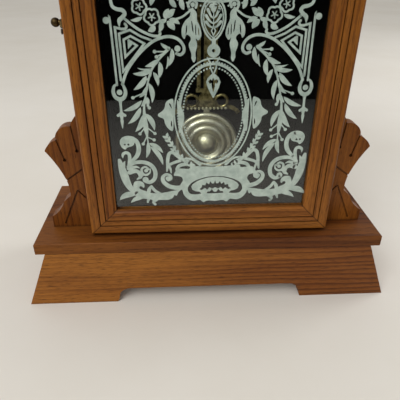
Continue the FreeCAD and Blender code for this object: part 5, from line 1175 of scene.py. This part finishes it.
    def draw_upper_glass(self, d: Drawing) -> None:
        """Draws the ring round the dial and the flourishes in the upper corners."""
        d.ring(circle(self.dial_centre, self.dial_ring, steps=72), 2.0)
        d.stroke([(-80.6, 306), (-83, 311), (-80, 315), (-76.4, 312.4), (-78, 309)], 2.0)
        for base, tip in [
            ((-70, 295), (-66, 306)), ((-62, 296), (-56, 306)), ((-50, 289), (-44, 299)),
            ((-30, 288), (-35, 296)), ((-24, 286), (-26, 296)),
        ]:
            d.leaf(base, tip, 4.0)
        reach = self.dial_ring + self.ring_leaf_gap
        for turn in (128, 136, 144, 152):
            x = self.dial_centre[0] - reach * math.sin(math.radians(turn))
            z = self.dial_centre[1] - reach * math.cos(math.radians(turn))
            d.leaf((x, z), (x - 3.4, z + 9.5), 3.6)
        d.stroke([(-87, 424), (-86, 440), (-80, 449), (-70, 453.5), (-58, 454.4)], 2.0)
        d.stroke([(-58, 454.4), (-52, 452.4), (-51, 448.4), (-54, 446.6), (-56.4, 449)], 1.8)
        d.stroke([(-87, 424), (-88.6, 420), (-86, 417.4), (-83.4, 419.4)], 1.8)
        d.leaf((-80, 449), (-70, 438), 5.0)


# The clock's own parts

@dataclass
class Woodwork:
    """Base, case, wings and crown of walnut, and the pine back."""

    inside_shade_gap: float = 0.25
    inside_shade_depth: float = 0.35

    def dress(self) -> None:
        """Gives each board its wood, with the grain along it."""
        # Planed walnut under shellac: warm red-brown with dark pores, and painted shade that darkens it
        # towards the right
        across = Wood("walnut, planed and shellacked, grain across", 0.36, painted_side_shade=0.6)
        dress(across.make(), "front_apron", "case_cap")
        # The same boards seen on the base's ends, where the light runs along the fibres
        deep = Wood("walnut, planed and shellacked, grain from front to back", 0.4, grain=Grain.ALONG_Y)
        dress(deep.make(), "left_apron", "right_apron")
        # Fretsawn boards took more shellac into their cut edges: a shade darker
        upright = Wood("walnut, fretsawn and shellacked, grain upright", 0.4, grain=Grain.ALONG_Z,
                       light="#88511b", middle="#68380f")
        dress(upright.make(), "left_wing", "right_wing")
        dress(Wood("walnut, fretsawn, grain across", 0.4).make(), "crown")
        self.dress_case()

    def dress_case(self) -> None:
        """Gives the case's boards wood outside and flat black painted shade inside."""
        reach = -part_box("left_case_side")[1].x + self.inside_shade_gap * MM
        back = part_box("back_board")[0].y + self.inside_shade_depth * MM
        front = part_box("left_case_side")[0].y - MM
        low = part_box("platform")[1].z - MM
        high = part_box("case_cap")[1].z
        # The case's hollow, whose faces get flat black painted shade
        hollow = {
            "inner_low": (-reach, front, low),
            "inner_high": (reach, back, high),
        }
        # The platform is seen from above: its polish is worn dull, and its darker colours are painted shade
        worn_and_shaded = ShadedInsideWood(
            "walnut, planed and worn, black inside as painted shade", 0.5, light="#7a4819", middle="#5e3210",
            dark="#43210a", gloss_coat=0.03, painted_side_shade=0.4, **hollow,
        )
        dress(worn_and_shaded.make(), "platform")
        # Walnut left without gloss: the same figure as the front, but dull
        sides = ShadedInsideWood(
            "walnut, planed, black inside as painted shade", 0.6, grain=Grain.ALONG_Z, gloss_coat=0.0,
            specular=0.15, **hollow,
        )
        # Rough-sawn pine under a thin brown wash: paler and plainer than the walnut
        pine = ShadedInsideWood(
            "pine, sawn and washed brown, black inside as painted shade", 0.62, grain=Grain.ALONG_Z, light="#a5804f",
            middle="#8d683c", dark="#6a4724", pore="#59391b", ring_spacing=5.5, pore_strength=0.3,
            gloss_coat=0.0, specular=0.12, **hollow,
        )
        dress(sides.make(), "left_case_side", "right_case_side")
        dress(pine.make(), "back_board")


@dataclass
class Door:
    """Mitred door frame, its glass, beads and hinges."""

    def dress(self) -> None:
        """Gives the frame, the glass and the hinges their finishes."""
        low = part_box("door_bottom_rail")[0]
        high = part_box("door_top_rail")[1]
        corners = {"half_width": high.x, "low_edge": low.z, "high_edge": high.z}
        # Moulded walnut rubbed by hands: a soft sheen on the rounds, a hairline at each mitre,
        # and grooves darkened by dirt and painted shade
        rails = MitredWood("walnut, moulded and mitred, grain across", 0.38, **corners)
        stiles = MitredWood(
            "walnut, moulded and mitred, grain upright", 0.38, grain=Grain.ALONG_Z, **corners
        )
        dress(rails.make(), "door_bottom_rail", "door_top_rail")
        dress(stiles.make(), "door_left_stile", "door_right_stile")
        # Drawn glass: sharp reflections that wander a little
        dress(SheetGlass("glass, drawn sheet", 0.0).make(), "door_glass")
        # Bare beads behind the glass: dull and dry
        bead = Wood("walnut, ripped bead, unpolished", 0.6, grain=Grain.ALONG_Z, gloss_coat=0.0)
        dress(bead.make(), "glass_beads")
        # Pressed brass hinges keep a little lacquer: yellow where touched, brown in the corners with dirt
        # and painted shade
        brass = Metal("brass, pressed and lacquered", 0.28, clean="#b8974e", stain="#7a6232", patch=7.0)
        dress(brass.make(), "door_hinge_leaves", "case_hinge_leaves")
        # Old steel: grey with brown blooms of rust
        steel = Metal("steel, turned and blued with age", 0.35, clean="#77736d", stain="#4a3c31")
        dress(steel.make(), "hinge_pins", "door_screws", "case_screws", "latch_screw")
        # The hook is drawn brass wire and strip gone nearly black
        dark = Metal("brass, filed and darkened", 0.42, clean="#6b5836", stain="#2c2419", stained_share=0.7)
        dress(dark.make(), "latch_hook")


@dataclass
class Dial:
    """Painted dial with Roman figures and a minute track, its bezel and hands."""

    centre: Point = (0.0, 376.0)
    track_inner: float = 65.6
    track_outer: float = 68.6
    track_line: float = 0.35
    minute_mark: float = 0.4
    five_minute_mark: float = 1.4
    five_minute_extra: float = 0.8
    letter_width: float = 5.4
    figure_foot: float = 50.5
    figure_head: float = 62.5
    thick_stroke: float = 2.1
    thin_stroke: float = 0.7
    letter_gap: float = 1.0
    lift: float = 0.03
    figure_lift: float = 0.1
    mark_depth: float = 0.05
    figures: tuple[str, ...] = ("XII", "I", "II", "III", "IIII", "V", "VI", "VII", "VIII", "IX", "X", "XI")

    def dress(self) -> None:
        """Gives the dial's solids their finishes."""
        # Enamel paint on zinc, yellowed and cloudy with age
        face = Paint("dial enamel, sprayed and yellowed", 0.38, colour="#e6dfcb", thin="#cdbf9f", patch=14.0)
        dress(face.make(), "dial_pan")
        # Spun brass under lacquer: bright yellow with brown clouds where the lacquer failed
        bright = Metal("brass, spun and lacquered", 0.22, clean="#c7a556", stain="#8d7238", patch=12.0)
        dress(bright.make(), "dial_bezel", "hand_nut")
        # Blued hands: nearly black until they catch the light
        blue = Metal("steel, stamped and blued", 0.3, clean="#2a2c34", stain="#17171b", patch=6.0)
        dress(blue.make(), "hour_hand", "minute_hand")
        dress(Wood("walnut, sawn batten", 0.6, gloss_coat=0.0).make(), "dial_supports")

    def build(self, tree: Tree) -> None:
        """Paints the figures and the minute track.

        Args:
            tree: The tree that lays the track's marks.
        """
        # Printed figures: black gone brown where the ink is thin
        ink = Paint("dial ink, printed black", 0.45, colour="#14110f", thin="#231d18", patch=5.0).make()
        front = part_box("dial_pan")[0].y / MM - self.lift
        drawing = Drawing(self.centre)
        for hour, figure in enumerate(self.figures):
            self.draw_figure(drawing, figure, 30.0 * hour)
        for radius in (self.track_inner, self.track_outer):
            drawing.ring(circle(self.centre, radius, steps=90), self.track_line)
        pieces = [drawing.finish("dial_figures", front - self.figure_lift, ink)]
        middle = (self.track_inner + self.track_outer) / 2
        length = self.track_outer - self.track_inner
        for name, count, width, tall in [
            ("minute_marks", 60, self.minute_mark, length),
            ("five_minute_marks", 12, self.five_minute_mark, length + self.five_minute_extra),
        ]:
            row = PearlRow(tree, count, width, tall, self.mark_depth, rounded=False)
            pieces.append(row.lay(name, circle(self.centre, middle, steps=120), front, ink))
        for piece in pieces:
            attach(piece, "case")
            log.info("%s rides on the case", piece.name)

    def letter(self, letter: str) -> tuple[float, list[Line]]:
        """Draws one Roman letter.

        Args:
            letter: I, V or X.

        Returns:
            Its width and its strokes, with their widths, on a height from 0 to 1.
        """
        thick, thin = self.thick_stroke, self.thin_stroke
        if letter == "I":
            return thick, [[(0.0, 0.0, thick), (0.0, 1.0, thick)]]
        wide = self.letter_width
        if letter == "V":
            return wide, [
                [(-wide / 2 + thick / 2, 1.0, thick), (0.1, 0.0, thick)],
                [(wide / 2 - 0.4, 1.0, thin), (0.0, 0.0, thin)],
            ]
        return wide, [
            [(-wide / 2 + thick / 2, 1.0, thick), (wide / 2 - thick / 2, 0.0, thick)],
            [(wide / 2 - 0.4, 1.0, thin), (-wide / 2 + 0.4, 0.0, thin)],
        ]

    def draw_figure(self, d: Drawing, figure: str, angle: float) -> None:
        """Draws one hour's figure with its feet to the dial's middle.

        Args:
            d: The drawing.
            figure: The Roman figure.
            angle: The hour's angle from the top, clockwise, in degrees.
        """
        letters = [self.letter(letter) for letter in figure]
        total = sum(width for width, _ in letters) + self.letter_gap * (len(letters) - 1)
        start = -total / 2
        low, high = self.figure_foot, self.figure_head
        for width, strokes in letters:
            middle = start + width / 2
            for stroke in strokes:
                line = [(*self.on_dial(middle + s, low + (high - low) * h, angle), w) for s, h, w in stroke]
                d.stroke(line, both=False, smooth=False)
            start += width + self.letter_gap
        for radius in (low - 0.3, high + 0.3):
            ends = [self.on_dial(side * (total / 2 + 0.5), radius, angle) for side in (-1, 1)]
            d.stroke(ends, self.thin_stroke, both=False, smooth=False)

    def on_dial(self, aside: float, radius: float, angle: float) -> Point:
        """Finds a point on the dial from its distance aside and outward at an angle."""
        turn = math.radians(angle)
        return (
            self.centre[0] + aside * math.cos(turn) + radius * math.sin(turn),
            self.centre[1] - aside * math.sin(turn) + radius * math.cos(turn),
        )


@dataclass
class Movement:
    """Brass plates and wheels with steel arbors, for both trains."""

    def dress(self) -> None:
        """Gives the movement's solids their finishes."""
        # Rolled sheet brass, stamped: straight rolling marks, dull with old oil
        sheet = Metal("brass, rolled and stamped", 0.34, clean="#b3924c", stain="#7d6534", patch=16.0)
        dress(sheet.make(), "front_plate", "back_plate", "minute_wheel", "hour_wheel", "time_great_wheel",
              "time_second_wheel", "third_wheel", "escape_wheel", "strike_great_wheel",
              "strike_second_wheel", "pin_wheel", "warning_wheel", "fly", "count_wheel")
        # Turned steel arbors and posts: bright with greyer bands
        steel = Metal("steel, turned and polished", 0.25, clean="#a4a29c", stain="#6b655c", patch=8.0)
        dress(steel.make(), "plate_pillars", "plate_nuts", "movement_posts", "centre_arbor",
              "time_winding_arbor", "strike_winding_arbor", "verge", "hammer")
        # Tempered spring steel keeps the blue-brown of its heat
        spring = Metal("steel, tempered spring", 0.3, clean="#5b5a5e", stain="#3d3530", patch=10.0)
        dress(spring.make(), "time_mainspring", "strike_mainspring", "coil_gong", "suspension_rod")
        # Japan black over rough iron: a broken, dull gloss
        iron = Paint(
            "cast iron, japanned black", 0.5, colour="#171513", thin="#2a2320", patch=5.0, speck=1.2
        )
        dress(iron.make(), "gong_base")


@dataclass
class Pendulum:
    """Pressed brass bob and yoke on flat rods, with a row of pearls along the yoke."""

    pearl: float = 3.0
    pearl_count: int = 11
    pearl_inset: float = 15.5

    def dress(self) -> None:
        """Gives the pendulum its finishes."""
        # Thin nickel-washed brass, pressed: bright on the crests, yellow-grey and dull in the valleys,
        # which dirt and painted shade darken
        bob = Metal(
            "brass, pressed and silvered", 0.36, clean="#fffce9", stain="#d2caa6", patch=26.0,
            stained_roughness=0.44, mark_width=2.4, mark_depth=0.006, groove_reach=6.0, dirt_and_shade_share=0.6,
        )
        dress(bob.make(), "pendulum_bob")
        # Tarnished strip: olive brown with a few spots of yellow left
        rods = Metal("brass, rolled and tarnished", 0.36, clean="#b9ab78", stain="#5a5034", patch=5.0,
                     stained_share=0.55, dirt_and_shade_share=0.8)
        dress(rods.make(), "pendulum_frame")

    def build(self, tree: Tree) -> None:
        """Sets the pearls along the yoke.

        Args:
            tree: The tree that lays the pearls.
        """
        low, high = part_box("pendulum_frame")
        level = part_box("pendulum_bob")[1].z / MM
        reach = high.x / MM - self.pearl_inset
        # Pearls are rubbed bright where the yoke round them is dark
        finish = Metal(
            "brass, pressed pearls, rubbed bright", 0.45, clean="#fff8dc", stain="#e0d6ae", patch=3.0
        )
        row = PearlRow(tree, self.pearl_count, self.pearl, self.pearl, self.pearl)
        pearls = row.lay(
            "yoke_pearls", [(-reach, level), (reach, level)], low.y / MM, finish.make(), closed=False
        )
        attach(pearls, "pendulum")
        log.info("yoke_pearls ride on the pendulum")


# Studio and camera

@dataclass
class Studio:
    """Pale floor, soft daylight from the upper left and a weaker window on the right."""

    floor_front: float = -0.76
    floor_back: float = 5.0
    floor_half: float = 4.0
    floor_colour: str = "#dfdbd4"
    floor_shade: str = "#d8d3ca"
    sky_colour: str = "#fffdf8"
    horizon: tuple[float, float] = (-0.02, 0.05)
    sky_light: tuple[float, float] = (0.82, 0.42)
    dark_room: str = "#131210"
    background: str = "#dcd9d4"
    eye: Triple = (-0.031385, -0.40913, 0.323485)
    look: Triple = (0.0497426, 0.86580098, -0.49790996)
    right: Triple = (0.99853484, -0.05374443, 0.00630183)
    down: Triple = (-0.02130376, -0.49749391, -0.86720583)
    lens: float = 38.39
    sensor: float = 36.0
    lamp_target: Triple = (0.0, 0.0, 0.15)

    def build(self) -> None:
        """Makes the floor, the light and the camera."""
        self.make_floor()
        self.make_sky()
        self.make_lamp("daylight from the left", (-1.0, -1.5, 1.8), 1.3, 30.0)
        self.make_lamp("window on the right", (1.7, 0.6, 1.0), 0.9, 12.0)
        self.make_camera()
        bpy.context.scene.view_settings.view_transform = "Standard"

    def make_floor(self) -> None:
        """Makes the pale cloth floor."""
        corners = [
            (-self.floor_half, self.floor_front, 0.0), (self.floor_half, self.floor_front, 0.0),
            (self.floor_half, self.floor_back, 0.0), (-self.floor_half, self.floor_back, 0.0),
        ]
        mesh = bpy.data.meshes.new("floor")
        mesh.from_pydata(corners, [], [(0, 1, 2, 3)])
        cloth = Cloth(
            "cotton cloth, pale and plain", 0.9, colour=self.floor_colour, thin=self.floor_shade,
            patch=420.0, speck=1.5, speck_depth=0.1, shade_end=self.floor_front,
        )
        mesh.materials.append(cloth.make())
        new_object("floor", mesh)

    def make_sky(self) -> None:
        """Makes the soft sky, pale where the camera sees it and dark below the horizon."""
        world = bpy.data.worlds.new("soft studio")
        bpy.context.scene.world = world
        world.use_nodes = True
        tree = world.node_tree
        tree.nodes.clear()
        way = add_node(tree, "ShaderNodeTexCoord").outputs["Generated"]
        axes = add_node(tree, "ShaderNodeSeparateXYZ", {0: way}).outputs
        low, high = self.horizon
        above = add_node(tree, "ShaderNodeMapRange", {"Value": axes["Z"], "From Min": low, "From Max": high})
        side = add_node(tree, "ShaderNodeMapRange", {"Value": axes["X"], "From Min": -1.0, "From Max": 1.0})
        white = linear(self.sky_colour)[:3]
        bright, dim = [tuple(level * c for c in white) + (1.0,) for level in self.sky_light]
        lit = add_node(tree, "ShaderNodeMix", {
            MIX_SHARE: side.outputs[0], MIX_FROM: bright, MIX_TO: dim,
        }, data_type="RGBA").outputs[MIX_COLOUR]
        sky = add_node(tree, "ShaderNodeMix", {
            MIX_SHARE: above.outputs[0], MIX_FROM: linear(self.dark_room), MIX_TO: lit,
        }, data_type="RGBA").outputs[MIX_COLOUR]
        path = add_node(tree, "ShaderNodeLightPath")
        shown = add_node(tree, "ShaderNodeMix", {
            MIX_SHARE: path.outputs["Is Camera Ray"], MIX_FROM: sky, MIX_TO: linear(self.background),
        }, data_type="RGBA").outputs[MIX_COLOUR]
        glow = add_node(tree, "ShaderNodeBackground", {"Color": shown, "Strength": 1.0})
        add_node(tree, "ShaderNodeOutputWorld", {"Surface": glow.outputs[0]})

    def make_lamp(self, name: str, place: Point, size: float, power: float) -> None:
        """Makes a soft square lamp that looks at the clock.

        Args:
            name: The lamp's name.
            place: Where it hangs, in metres.
            size: The length of its side.
            power: Its power in watts.
        """
        data = bpy.data.lights.new(name, "AREA")
        data.size = size
        data.energy = power
        lamp = bpy.data.objects.new(name, data)
        lamp.location = place
        aim = Vector(self.lamp_target) - Vector(place)
        lamp.rotation_euler = aim.to_track_quat("-Z", "Y").to_euler()
        bpy.context.scene.collection.objects.link(lamp)

    def make_camera(self) -> None:
        """Makes the camera at the photograph's viewpoint."""
        data = bpy.data.cameras.new("camera")
        data.lens = self.lens
        data.sensor_width = self.sensor
        camera = bpy.data.objects.new("camera", data)
        columns = [Vector(self.right), -Vector(self.down), -Vector(self.look)]
        turn = Matrix(columns).transposed().to_4x4()
        camera.matrix_world = Matrix.Translation(self.eye) @ turn
        bpy.context.scene.collection.objects.link(camera)
        bpy.context.scene.camera = camera


def main() -> None:
    """Builds and dresses the clock."""
    logging.basicConfig(level=logging.INFO, format="%(message)s")
    tree = pearl_tree()
    Woodwork().dress()
    Door().dress()
    # Enamel fired thin on the glass: chalky green-white, cloudy where it is thin
    enamel = Paint("glass enamel, printed and fired", 0.6, colour="#c8d0ca", thin="#a3aea9", patch=7.0)
    GlassOrnament().build(tree, enamel.make())
    dial = Dial()
    dial.dress()
    dial.build(tree)
    Movement().dress()
    pendulum = Pendulum()
    pendulum.dress()
    pendulum.build(tree)
    Studio().build()


if __name__ == "__main__":
    main()
